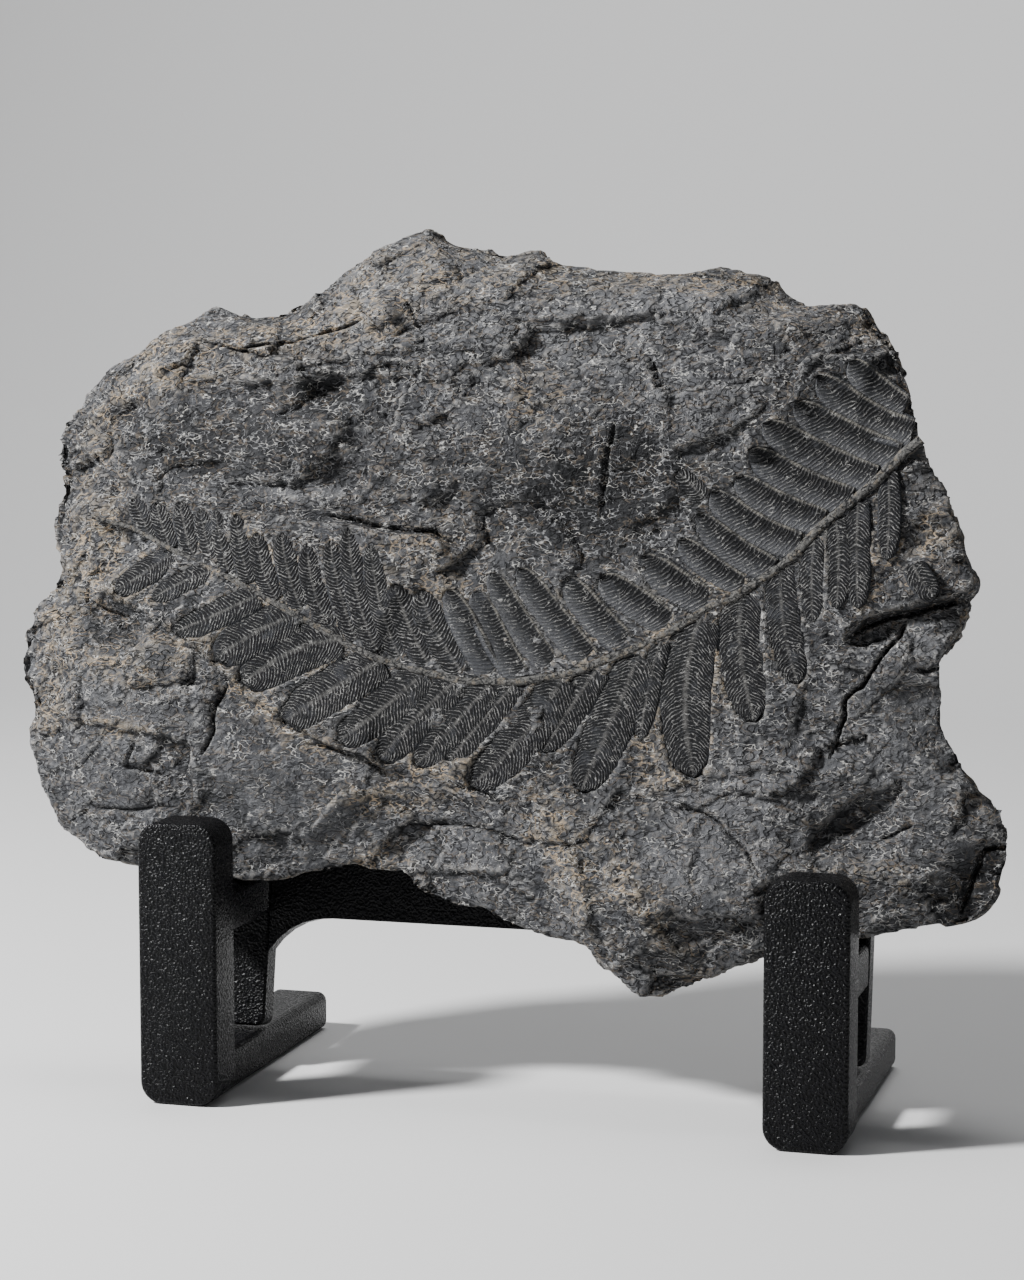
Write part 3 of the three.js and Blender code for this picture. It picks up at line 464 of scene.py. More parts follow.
def beside_line(points, line):
    """Distance of points from a line of pixels, their side of it (left is positive), and share along it."""
    line = on_face(line)
    lengths = np.linalg.norm(np.diff(line, axis=0), axis=1)
    run = np.concatenate(([0], np.cumsum(lengths)))
    away = np.full(len(points), np.inf)
    side, share_along = np.zeros(len(points)), np.zeros(len(points))
    for i, length in enumerate(lengths):
        step = line[i + 1] - line[i]
        gap = points - line[i]
        share = np.clip(gap @ step / length ** 2, 0, 1)
        off = np.linalg.norm(gap - share[:, None] * step, axis=1)
        nearer = off < away
        away[nearer] = off[nearer]
        side[nearer] = np.sign(step[0] * gap[:, 1] - step[1] * gap[:, 0])[nearer]
        share_along[nearer] = ((run[i] + share * length) / run[-1])[nearer]
    return away, side, share_along


def spots(points, table):
    """Sum of soft oval spots, each given by a pixel, half sizes, turn and strength."""
    total = np.zeros(len(points))
    for px, py, across, up, turn, strength in table:
        gap = points - on_face((px, py))
        angle = math.radians(turn)
        along = gap[:, 0] * math.cos(angle) + gap[:, 1] * math.sin(angle)
        beside = gap[:, 1] * math.cos(angle) - gap[:, 0] * math.sin(angle)
        total += strength * np.exp(-((along / across) ** 2) - (beside / up) ** 2)
    return total


def ledge_height(points, table, width):
    """Height of the ledges in a table, whose steps are width wide and run out at their lines' ends."""
    total = np.zeros(len(points))
    for rise, fade, line in table:
        away, side, _ = beside_line(points, line)
        first, last = on_face(line)[[0, -1]]
        to_end = np.minimum(np.linalg.norm(points - first, axis=1), np.linalg.norm(points - last, axis=1))
        step = ease(away, 0, width) * ease(to_end - away, 0, LEDGE_END)
        total += rise * step * np.where(side > 0, np.exp(-away / fade), 0)
    return total


def main_form(points):
    """Height of the face's main forms over its plane."""
    ledges = ledge_height(warped(points, reach=1.5, size=14, seed=5), LEDGES, LEDGE_WIDTH)
    return spots(points, LUMPS) + ledges + SWELL * noise(points, size=26, seed=11)


def crack_depth(points):
    """Depth of the cracks, which are widest and deepest in the middle of their lines."""
    wandering = warped(points, reach=0.7, size=4, seed=31)
    total = np.zeros(len(points))
    for half, depth, line in CRACKS:
        away, _, share = beside_line(wandering, line)
        taper = np.minimum(1, 5 * np.minimum(share, 1 - share) + 0.25)
        total = np.maximum(total, depth * taper * np.clip(1 - away / (half * taper + CRACK_EDGE), 0, 1))
    return total


def broken_surface(points):
    """Fine height of split stone: steps along its bedding, and chips of three sizes."""
    bedding = along_grain(warped(points, reach=5, size=22, seed=41), stretch=1.5)
    steps = layered_noise(bedding, size=30, layers=3, seed=43) * BEDS
    level = np.floor(steps)
    terraces = (level + ease(steps - level, BED_FLAT, 1.0)) / BEDS * BED_RISE
    large = chips(along_grain(warped(points, reach=3.5, size=12, seed=45), stretch=1.6), size=13, seed=50)
    medium = chips(along_grain(warped(points, reach=2, size=6, seed=55), stretch=1.5), size=6.5, seed=60)
    small = chips(warped(points, reach=1, size=3, seed=65), size=3.4, seed=70)
    return terraces + CHIP_HEIGHTS[0] * large + CHIP_HEIGHTS[1] * medium + CHIP_HEIGHTS[2] * small


class Ribbon:
    """A leaflet or the rachis: a spine on the face with a width at each share of its length."""

    def __init__(self, line, widths, half):
        self.line, self.half = line, half
        lengths = np.linalg.norm(np.diff(line, axis=0), axis=1)
        self.run = np.concatenate(([0], np.cumsum(lengths)))
        self.length = self.run[-1]
        self.widths = widths

    def half_width(self, share):
        return self.half * np.interp(share, *self.widths)

    def place(self, share, side):
        """Points at a share of the length and a side from -1 to 1."""
        at = np.clip(share, 0, 1) * self.length
        ahead = np.minimum(at + 1.0, self.length)
        behind = ahead - 2.0
        x, y = (np.interp(at, self.run, self.line[:, i]) for i in range(2))
        dx, dy = (np.interp(ahead, self.run, self.line[:, i]) - np.interp(behind, self.run, self.line[:, i])
                  for i in range(2))
        size = np.hypot(dx, dy)
        off = side * self.half_width(np.clip(share, 0, 1))
        return np.column_stack((x - dy / size * off, y + dx / size * off))

    def beyond(self, points, reach=6, samples=25, far=99.0):
        """How far points lie outside the ribbon's edge: under 0 inside, and far where out of reach."""
        low, high = self.line.min(0) - self.half - reach, self.line.max(0) + self.half + reach
        near = np.all((points > low) & (points < high), axis=1)
        result = np.full(len(points), far)
        if near.any():
            chosen = points[near]
            first = min(0.4, self.half / self.length) if self.half > 1 else 0
            shares = np.linspace(first, 1, samples)
            centres = self.place(shares, np.zeros(samples))
            away = np.linalg.norm(chosen[:, None] - centres[None], axis=2)
            result[near] = (away - self.half_width(shares)[None]).min(axis=1)
        return result


def leaflet_ribbon(read):
    """A leaflet as read: its spine is a curve through foot, middle and tip."""
    foot, middle, tip, width = read
    foot, middle, tip = on_face((foot, middle, tip))
    pull = 2 * middle - (foot + tip) / 2
    share = np.linspace(0, 1, SPINE_POINTS)[:, None]
    line = (1 - share) ** 2 * foot + 2 * share * (1 - share) * pull + share ** 2 * tip
    return Ribbon(line, LEAFLET_WIDTHS, LEAFLET_SPREAD * width * DISTANCE / FOCAL)


blades = [leaflet_ribbon(read) for read in BLADES]
bands = [leaflet_ribbon(read) for read in BANDS]
rachis = Ribbon(on_face(RACHIS), RACHIS_WIDTHS, 1.0)


def beyond_frond(points):
    return np.min([ribbon.beyond(points) for ribbon in blades + bands + [rachis]], axis=0)


def move_points(mesh, places):
    mesh.vertices.foreach_set("co", places.astype(np.float32).ravel())
    mesh.update()


def points_of(mesh):
    places = np.empty(len(mesh.vertices) * 3, np.float32)
    mesh.vertices.foreach_get("co", places)
    return places.reshape(-1, 3).astype(float)


def normals_of(mesh):
    normals = np.empty(len(mesh.vertices) * 3, np.float32)
    mesh.vertex_normals.foreach_get("vector", normals)
    return normals.reshape(-1, 3).astype(float)


def keep_values(mesh, **values):
    """Keeps a number from 0 to 1 on each point under each name, for the materials."""
    for name, numbers in values.items():
        layer = mesh.attributes.new(name, "FLOAT", "POINT")
        layer.data.foreach_set("value", np.clip(numbers, 0, 1).astype(np.float32))


def new_object(name, mesh, material):
    piece = bpy.data.objects.new(name, mesh)
    bpy.context.scene.collection.objects.link(piece)
    mesh.materials.append(material)
    return piece


def finish_mesh(work, mesh):
    """Turns the faces outwards, makes them smooth, and moves the work into the mesh."""
    bmesh.ops.recalc_face_normals(work, faces=work.faces)
    for face in work.faces:
        face.smooth = True
    work.to_mesh(mesh)
    work.free()


def sink_edge(work, edges):
    """Turns an open edge down into the stone and closes it below."""
    skirt = bmesh.ops.extrude_edge_only(work, edges=edges)
    lower = [v for v in skirt["geom"] if isinstance(v, bmesh.types.BMVert)]
    bmesh.ops.translate(work, verts=lower, vec=-face_out * SKIRT * MM)
    rim = [e for e in skirt["geom"] if isinstance(e, bmesh.types.BMEdge) and e.is_boundary]
    bmesh.ops.contextual_create(work, geom=rim)


def edge_round(angle):
    """The outline at each angle round its middle: the way there, and how far the face falls back."""
    outline = np.array(OUTLINE, float)
    edge = np.column_stack((on_face(outline[:, :2], outline[:, 2]), outline[:, 2]))
    reach = edge[:, :2] - on_face(OUTLINE_MIDDLE)[0]
    bearing = np.mod(np.arctan2(reach[:, 1], reach[:, 0]), 2 * math.pi)
    order = np.argsort(bearing)
    edge, bearing = edge[order], bearing[order]
    ring = np.concatenate((bearing[-1:] - 2 * math.pi, bearing, bearing[:1] + 2 * math.pi))
    x, y, fall = (np.interp(angle, ring, np.concatenate((values[-1:], values, values[:1])))
                  for values in edge.T)
    return np.column_stack((x, y)) - on_face(OUTLINE_MIDDLE)[0], fall


def blank_slab():
    """The slab's gross form: a sphere whose rings and spokes are drawn out to the outline, rim and back."""
    rim_rows = len(RIM)
    rows = FACE_ROWS + rim_rows + BACK_ROWS
    work = bmesh.new()
    bmesh.ops.create_uvsphere(work, u_segments=SPOKES, v_segments=rows, radius=1)
    mesh = bpy.data.meshes.new("fossil_slab_stone")
    work.to_mesh(mesh)
    work.free()
    ball = points_of(mesh)
    row = np.rint(np.arccos(np.clip(ball[:, 2], -1, 1)) / math.pi * rows)
    to_edge, fall = edge_round(np.mod(np.arctan2(ball[:, 1], ball[:, 0]), 2 * math.pi))
    length = np.linalg.norm(to_edge, axis=1)
    share = np.interp(row, [0, FACE_ROWS, FACE_ROWS + rim_rows, rows], [0, 1, 1, 0])
    rim_row = np.clip(row - FACE_ROWS, 0, rim_rows - 1)
    inset, depth_share = (np.interp(rim_row, range(rim_rows), column) for column in zip(*RIM))
    at = on_face(OUTLINE_MIDDLE)[0] + to_edge * (share * (length - inset) / length)[:, None]
    band = np.clip((share - 1 + EDGE_BAND) / EDGE_BAND, 0, 1)
    front_fall = np.where(row <= FACE_ROWS, fall * band ** EDGE_CURVE, fall)
    out = -(front_fall + (THICKNESS - BACK_ROOM - front_fall) * depth_share)
    move_points(mesh, in_frame(at[:, 0], at[:, 1], out))
    return mesh


def even_mesh(piece, voxel):
    """The piece's mesh remade of even small squares."""
    remesh = piece.modifiers.new("even", "REMESH")
    remesh.mode = "VOXEL"
    remesh.voxel_size = voxel * MM
    made = bpy.data.meshes.new_from_object(piece.evaluated_get(bpy.context.evaluated_depsgraph_get()))
    piece.modifiers.clear()
    materials = list(piece.data.materials)
    piece.data = made
    made.materials.clear()
    for material in materials:
        made.materials.append(material)


def fine_along_cracks(mesh):
    """Splits the mesh's squares near the cracks, so that these come out narrow and sharp."""
    work = bmesh.new()
    work.from_mesh(mesh)
    work.verts.ensure_lookup_table()
    across, up, out = on_slab(np.array([v.co for v in work.verts]))
    points = np.column_stack((across, up))
    away = np.min([beside_line(points, line)[0] for _, _, line in CRACKS], axis=0)
    near = (away < CRACK_MARGIN) & (out > -THICKNESS / 2)
    edges = [e for e in work.edges if near[e.verts[0].index] and near[e.verts[1].index]]
    bmesh.ops.subdivide_edges(work, edges=edges, cuts=1, use_grid_fill=True)
    work.to_mesh(mesh)
    work.free()


def neighbour_lift(mesh, places, normals):
    """How far each point stands out of the mean of its neighbours, over the mesh's spacing."""
    pairs = np.empty(len(mesh.edges) * 2, np.int32)
    mesh.edges.foreach_get("vertices", pairs)
    one, other = pairs.reshape(-1, 2).T
    both = np.concatenate((one, other))
    count = np.bincount(both, minlength=len(places))
    total = np.column_stack([np.bincount(both, np.concatenate((axis[other], axis[one])), len(places))
                             for axis in places.T])
    return ((places - total / count[:, None]) * normals).sum(axis=1) / (VOXEL * MM)


def frond_zone(face):
    """The stone at the frond, each from 0 to 1: near it, under its film, and the ridge along its edge."""
    beyond = beyond_frond(face) + 0.35 * noise(face, size=2.6, seed=87)
    near = np.exp(-((np.maximum(beyond, 0) / 3.2) ** 2))
    under = 1 - ease(beyond, -1.9, -0.85)
    ridge = np.exp(-(((beyond + 0.1) / 0.9) ** 2))
    return near, under, ridge


def face_height(face, zone, calm, cracks):
    """Height of the finished face over its plane."""
    near, under, ridge = zone
    cover = ease(layered_noise(face, size=8, layers=3, seed=85), 0.42, 0.62)
    fine = broken_surface(face) * (1 - FLATTER_NEAR * near) * (1 - FLATTER_CALM * calm)
    wandering = face + 0.9 * noise(face, size=5, seed=71)[:, None]
    fine += spots(face, SMALL_LUMPS) + ledge_height(wandering, SMALL_LEDGES, SMALL_LEDGE_WIDTH)
    height = main_form(face) + fine - cracks + 0.25 * near - (BED_DEPTH - BED_COVER * cover) * under
    return height + (EDGE_RIDGE + EDGE_WAVER * noise(face, size=5, seed=89)) * ridge


def side_height(solid, sides, facing):
    """How far the broken rim and back stand out: least where the stand carries them."""
    plates = chips(warped(solid, reach=2.5, size=9, seed=81) / PLATE_SIZE, size=1, seed=90, tilt=0.7)
    blocks = chips(warped(solid, reach=2, size=8, seed=84), size=9, seed=95)
    rubble = layered_noise(solid, size=16, layers=3, seed=91)
    rough = sides * (RUBBLE * rubble + PLATES * plates + BLOCKS * blocks - SET_BACK)
    behind = ease(-facing, 0.3, 0.7)
    low = ease(-solid[:, 1], 60, 70)
    return np.minimum(rough, MOST_OUT - LESS_CARRIED * np.maximum(behind, low))


def stone_piece(material):
    """The stone: a blank slab remade of even squares, then broken, cracked and sunk under the frond."""
    piece = new_object("fossil_slab_stone", blank_slab(), material)
    even_mesh(piece, VOXEL)
    mesh = piece.data
    mesh.name = "fossil_slab_stone"
    fine_along_cracks(mesh)
    places, normals = points_of(mesh), normals_of(mesh)
    solid = np.column_stack(on_slab(places))
    face = solid[:, :2]
    facing = normals @ np.array(face_out)
    front = ease(facing, 0.1, 0.55)
    sides = 1 - front
    zone = frond_zone(face)
    near, _, ridge = zone
    calm = np.clip(spots(face, SMOOTH_SPOTS), 0, 1)
    cracks = crack_depth(face)
    moved = np.outer(face_height(face, zone, calm, cracks) * front, face_out)
    moved += normals * side_height(solid, sides, facing)[:, None]
    places = places + moved * MM
    move_points(mesh, places)
    lift = neighbour_lift(mesh, places, normals_of(mesh))
    weather = layered_noise(face, size=12, layers=4, seed=101)
    margins = ridge * ease(layered_noise(face, size=10, layers=3, seed=103), 0.05, 0.45)
    tan = spots(face, TAN_SPOTS) * (0.75 + 0.5 * weather) + 0.5 * margins
    # The cracks and the mesh's hollows go into the colour as painted shade; the dark spots are partly painted
    # shade.
    keep_values(mesh, tan=tan + 0.25 * sides * (0.5 + weather) + 0.1,
                dark=spots(face, DARK_SPOTS) + ease(cracks, 0.3, 1.6) + 0.4 * near * (1 - margins),
                pale=spots(face, PALE_SPOTS) * (0.7 + 0.6 * weather), scarred=spots(face, SCARRED),
                calm=calm * front, worn=ease(lift, 0.04, 0.26), hollow=ease(-lift, 0.03, 0.24))
    for polygon in mesh.polygons:
        polygon.use_smooth = True
    return piece


def blade_profile(side, share):
    """Height across a leaflet that shows both halves: a low pillow each side of the midrib."""
    halves = PILLOW * np.sin(np.pi * np.abs(side)) - BLADE_DROP * side ** 8
    midrib = MIDRIB * np.exp(-((side / MIDRIB_WIDTH) ** 2))
    return halves + midrib * (1 - share ** 3) + BLADE_TILT * side


def across_band(side):
    """0 at a band's upper edge and 1 at its lower one."""
    return (side + 1) / 2


def band_profile(side, share):
    """Height across a folded leaflet: a crest along its upper edge, then a trough that rises again."""
    fold = np.interp(across_band(side), *FOLD)
    return fold * (0.35 + 0.65 * ease(share, 0, 0.3)) * (1 - 0.6 * ease(share, 0.85, 1.0))


def blade_values(side):
    """What the film's material reads on a leaflet with both halves."""
    rib = math.exp(-((side / RIB_WIDTH) ** 2))
    return {"rib": rib, "edge": abs(side), "shade": 0.0, "rise": 0.0, "folded": 0.0}


def band_values(side):
    """What it reads on a folded leaflet: the crest is its rib, with painted shade in the trough and a painted
    highlight on the rising side.
    """
    rib = math.exp(-(((side - FOLD_CREST) / RIB_WIDTH) ** 2))
    shade = math.exp(-(((side - FOLD_SHADE) / SHADE_WIDTH) ** 2))
    return {"rib": rib, "edge": abs(side), "shade": shade, "rise": max(0.0, 1.5 * side), "folded": 1.0}


# A kind of leaflet: its mesh's columns, its profile and values, how far a vein has come from its foot at each
# side, and how near to the edge it fades.
Kind = namedtuple("Kind", "columns profile values reach fade")
open_kind = Kind(BLADE_COLUMNS, blade_profile, blade_values, np.abs, 0.08)
folded_kind = Kind(BAND_COLUMNS, band_profile, band_values, across_band, 0.05)


def leaflet_mesh(work, layers, ribbon, kind, seed):
    """One leaflet: a grid whose rows follow the veins, laid on the face, its edge sunk into the stone."""
    lean = VEIN_LEAN * ribbon.half / ribbon.length
    rows = max(12, int(ribbon.length * (1 + lean) / VEIN_SPACING) * ROWS_PER_VEIN)
    verts = bmesh.ops.create_grid(work, x_segments=kind.columns, y_segments=rows, size=1)["verts"]
    flat = np.array([v.co[:2] for v in verts])
    side = flat[:, 0]
    row = np.rint((flat[:, 1] + 1) / 2 * rows)
    share = -lean + (1 + lean) * row / rows + lean * kind.reach(side) ** 1.6
    straight = ribbon.place(share, side)
    wander = 0.7 * noise(straight, 3.4, seed) + 0.3 * noise(straight, 1.7, seed + 1)
    share = np.clip(share + VEIN_SPACING * wander / ribbon.length, 0, 1)
    places = ribbon.place(share, side)
    crest = 0.5 - 0.5 * np.cos(2 * np.pi * row / ROWS_PER_VEIN)
    broken = 0.75 + 0.45 * noise(places, 4, seed + 3)
    fading = ease(1 - np.abs(side), 0, kind.fade)
    out = main_form(places) + kind.profile(side, share) + VEIN_HEIGHT * crest * broken * fading
    out += 0.3 * noise(places, 6, seed + 5) + 0.12 * noise(places, 1.6, seed + 6) - LEAFLET_SINK
    points = in_frame(places[:, 0], places[:, 1], out)
    for v, point, count, t in zip(verts, points, row / ROWS_PER_VEIN, side):
        v.co = point
        v[layers["vein"]] = count
        for name, value in kind.values(t).items():
            v[layers[name]] = value
    edges = [e for v in verts for e in v.link_edges if e.is_boundary]
    sink_edge(work, list(dict.fromkeys(edges)))


def frond_piece(name, ribbons, kind, material):
    """All leaflets of a kind as one piece."""
    work = bmesh.new()
    for layer in ("vein", "rib", "edge", "shade", "rise", "folded"):
        work.verts.layers.float.new(layer)
    layers = dict(work.verts.layers.float.items())
    for i, ribbon in enumerate(ribbons):
        leaflet_mesh(work, layers, ribbon, kind, 200 + 9 * i)
    bmesh.ops.remove_doubles(work, verts=work.verts, dist=0.02 * MM)
    bmesh.ops.dissolve_degenerate(work, edges=work.edges, dist=0.01 * MM)
    mesh = bpy.data.meshes.new(name)
    finish_mesh(work, mesh)
    return new_object(name, mesh, material)


def rachis_piece(material):
    """The rachis: a low round ridge with rough bark."""
    work = bmesh.new()
    verts = bmesh.ops.create_grid(work, x_segments=RACHIS_COLUMNS, y_segments=RACHIS_ROWS, size=1)["verts"]
    flat = np.array([v.co[:2] for v in verts])
    side, share = flat[:, 0], (flat[:, 1] + 1) / 2
    places = rachis.place(share, side * (1 + 0.25 * noise(np.column_stack((share * 90, side)), 1, 301)))
    size = np.interp(share, *RACHIS_WIDTHS) / RACHIS_WIDTHS[1][-1]
    out = main_form(places) + RACHIS_HEIGHT * size * np.sqrt(np.clip(1 - side ** 2, 0, 1)) - RACHIS_SINK
    out += 0.22 * noise(np.column_stack((places[:, 0] / 5, side * 3)), 1, 303) + 0.2 * noise(places, 1.3, 305)
    out += 0.25 * noise(places, 6, 307)
    for v, point in zip(verts, in_frame(places[:, 0], places[:, 1], out)):
        v.co = point
    sink_edge(work, [e for e in work.edges if e.is_boundary])
    mesh = bpy.data.meshes.new("frond_rachis")
    finish_mesh(work, mesh)
    return new_object("frond_rachis", mesh, material)


class Finish:
    """A material under construction: makes nodes, joins them, and paints one colour over another."""

    def __init__(self, name, roughness, gloss=0.5):
        self.material = bpy.data.materials.new(name)
        self.material.use_nodes = True
        self.tree = self.material.node_tree
        self.shader = self.tree.nodes["Principled BSDF"]
        self.shader.inputs["Roughness"].default_value = roughness
        self.shader.inputs["Specular IOR Level"].default_value = gloss
        self.place = self.add("ShaderNodeTexCoord").outputs["Object"]
        self.colour = None

    def add(self, kind, **settings):
        """A new node with these settings."""
        node = self.tree.nodes.new(kind)
        for key, value in settings.items():
            setattr(node, key, value)
        return node

    def join(self, source, target):
        self.tree.links.new(source, target)

    def noise(self, size, detail=4.0, rough=0.6, stretch=(1, 1, 1)):
        """Noise whose bumps are about size mm wide."""
        source = self.place
        if stretch != (1, 1, 1):
            mapping = self.add("ShaderNodeMapping")
            mapping.inputs["Scale"].default_value = stretch
            self.join(self.place, mapping.inputs["Vector"])
            source = mapping.outputs["Vector"]
        node = self.add("ShaderNodeTexNoise")
        node.inputs["Scale"].default_value = 1 / (size * MM)
        node.inputs["Detail"].default_value = detail
        node.inputs["Roughness"].default_value = rough
        self.join(source, node.inputs["Vector"])
        return node.outputs["Fac"]

    def cells(self, size, feature="F1", output="Distance"):
        """Cells size mm wide: the distance from a cell's middle or edge, or a grey of its own for each."""
        node = self.add("ShaderNodeTexVoronoi", feature=feature)
        node.inputs["Scale"].default_value = 1 / (size * MM)
        self.join(self.place, node.inputs["Vector"])
        return node.outputs[output]

    def curls(self, size, width, stretch=(1, 1, 1)):
        """Thin curled lines, 1 on the line, that wander over the surface."""
        off = self.reckon("ABSOLUTE", self.less(self.noise(size, 0.6, 0.4, stretch), 0.5))
        return self.spread(off, width, width * 0.25)

    def strokes(self, size, width, stretch, low, high):
        """Short pieces of curled lines, seen where a coarser noise is over low."""
        parts = self.spread(self.noise(2.0 * size, 2, 0.5, stretch), low, high)
        return self.times(self.curls(size, width, stretch), parts)

    def value(self, name):
        """A number that the mesh keeps under this name."""
        return self.add("ShaderNodeAttribute", attribute_name=name).outputs["Fac"]

    def spread(self, source, low, high, to_low=0.0, to_high=1.0):
        """Spreads what lies from low to high over to_low to to_high, and holds the rest at these."""
        node = self.add("ShaderNodeMapRange", clamp=True)
        for key, number in zip(("From Min", "From Max", "To Min", "To Max"), (low, high, to_low, to_high)):
            node.inputs[key].default_value = number
        self.join(source, node.inputs["Value"])
        return node.outputs["Result"]

    def reckon(self, kind, one, other=0):
        """One step of arithmetic on numbers or sockets."""
        node = self.add("ShaderNodeMath", operation=kind)
        for slot, source in zip(node.inputs, (one, other)):
            if isinstance(source, (int, float)):
                slot.default_value = source
            else:
                self.join(source, slot)
        return node.outputs[0]

    def times(self, one, other):
        return self.reckon("MULTIPLY", one, other)

    def plus(self, one, other):
        return self.reckon("ADD", one, other)

    def less(self, one, other):
        return self.reckon("SUBTRACT", one, other)

    def most(self, one, other):
        return self.reckon("MAXIMUM", one, other)

    def mix(self, share, one, other):
        """A colour between two, each given as numbers or as a socket."""
        node = self.add("ShaderNodeMix", data_type="RGBA")
        self.join(share, node.inputs["Factor"])
        for slot, source in ((node.inputs[6], one), (node.inputs[7], other)):
            if isinstance(source, tuple):
                slot.default_value = (*source, 1)
            else:
                self.join(source, slot)
        return node.outputs[2]

    def paint(self, share, colour):
        """Lays a colour over what is there, as thick as share says."""
        self.colour = self.mix(share, self.colour, colour)

    def bump(self, height, distance, strength=1.0, under=None):
        node = self.add("ShaderNodeBump")
        node.inputs["Distance"].default_value = distance * MM
        node.inputs["Strength"].default_value = strength
        self.join(height, node.inputs["Height"])
        if under is not None:
            self.join(under, node.inputs["Normal"])
        return node.outputs["Normal"]

    def done(self, normal, roughness=None):
        for source, name in ((self.colour, "Base Color"), (normal, "Normal"), (roughness, "Roughness")):
            if source is not None:
                self.join(source, self.shader.inputs[name])
        return self.material


def paint_clouds(finish):
    """Slate in large pale clouds, leaves of their own grey and small grains."""
    clouds = finish.spread(finish.noise(14, 5, 0.65), 0.42, 0.66, 0, 0.42)
    # The pale spots also lay painted light on the right below the big ledge.
    finish.paint(finish.most(clouds, finish.times(finish.value("pale"), 0.7)), SLATE_CLOUD)
    finish.paint(finish.spread(finish.cells(1.9, output="Color"), 0.4, 1.0, 0, 0.4), SLATE_PALE_AND_HIGHLIGHT)
    finish.paint(finish.spread(finish.noise(0.8, 4, 0.75), 0.55, 0.72, 0, 0.3), SLATE_PALE_AND_HIGHLIGHT)


def paint_weathering(finish, tan):
    """Worn edges pale, and tan on them and in patches where the stone is weathered."""
    worn = finish.times(finish.value("worn"), finish.spread(finish.noise(2.2, 3, 0.6), 0.38, 0.58))
    finish.paint(finish.times(worn, 0.9), SLATE_WORN)
    patchy = finish.times(tan, finish.spread(finish.noise(3.4, 4, 0.65), 0.46, 0.6))
    edged = finish.times(worn, finish.spread(tan, 0.05, 0.4))
    finish.paint(finish.spread(finish.most(patchy, edged), 0.06, 0.7, 0, 0.92), WEATHERED)


def paint_hollows(finish, scars):
    """Deep slate painted in: painted shade in the hollows and the cracks, the dark spots, which are partly
    the stone's own patches and partly painted shade, and the scars.
    """
    dark = finish.most(finish.most(finish.value("dark"), scars), finish.times(finish.value("hollow"), 0.9))
    finish.paint(finish.spread(dark, 0, 1, 0, 0.9), SLATE_DEEP_AND_SHADE)


def paint_strokes(finish, tan):
    """Curled flakes of split slate: their painted shadows and painted highlights, rusty lines and bright
    flecks.
    """
    lively = finish.spread(finish.value("calm"), 0, 1, 1, 0.6)
    shadows = finish.times(finish.strokes(*SHADOW_STROKES), lively)
    lights = finish.times(finish.strokes(*LIGHT_STROKES), lively)
    finish.paint(finish.times(shadows, 0.85), SLATE_DEEP_AND_SHADE)
    finish.paint(finish.times(lights, 0.7), FLAKE_HIGHLIGHT)
    rusty = finish.times(finish.strokes(*TAN_STROKES), finish.spread(tan, 0.12, 0.7, 0.15, 0.85))
    finish.paint(rusty, RUST)
    dots = finish.times(finish.spread(finish.cells(4.2), 0.1, 0.06),
                        finish.spread(finish.noise(9, 2), 0.46, 0.5))
    finish.paint(finish.times(finish.most(finish.strokes(*FLECK_STROKES), dots), 0.7), FLECK)
    return finish.less(lights, shadows)


def slate_material():
    finish = Finish("split_slate", 0.8, 0.2)
    blotches = finish.noise(3.0, 7, 0.72)
    finish.colour = finish.mix(finish.spread(blotches, 0.36, 0.66), SLATE_DEEP_AND_SHADE, SLATE)
    paint_clouds(finish)
    tan = finish.value("tan")
    paint_weathering(finish, tan)
    web = finish.spread(finish.cells(2.6, "DISTANCE_TO_EDGE"), 0.09, 0.02)
    scars = finish.times(web, finish.value("scarred"))
    paint_hollows(finish, scars)
    flakes = paint_strokes(finish, tan)
    rough = finish.bump(finish.noise(2.2, 6, 0.72), 1.0, 1.0)
    facets = finish.bump(finish.cells(1.7), 0.45, 0.9, rough)
    scaly = finish.bump(flakes, 0.4, 1.0, facets)
    pits = finish.bump(scars, -0.6, 0.6, scaly)
    return finish.done(pits, finish.spread(blotches, 0.3, 0.7, 0.6, 0.9))


def film_veins(finish):
    """Veins as broken lines that follow the mesh's rows and wander a little."""
    wander = finish.plus(finish.times(finish.noise(2.4, 3), 1.3), finish.times(finish.noise(0.8, 2), 0.5))
    count = finish.plus(finish.value("vein"), wander)
    off = finish.reckon("ABSOLUTE", finish.less(finish.reckon("FRACT", count), 0.5))
    return finish.times(finish.spread(off, 0.22, 0.05), finish.spread(finish.noise(1.9, 4, 0.7), 0.34, 0.5))


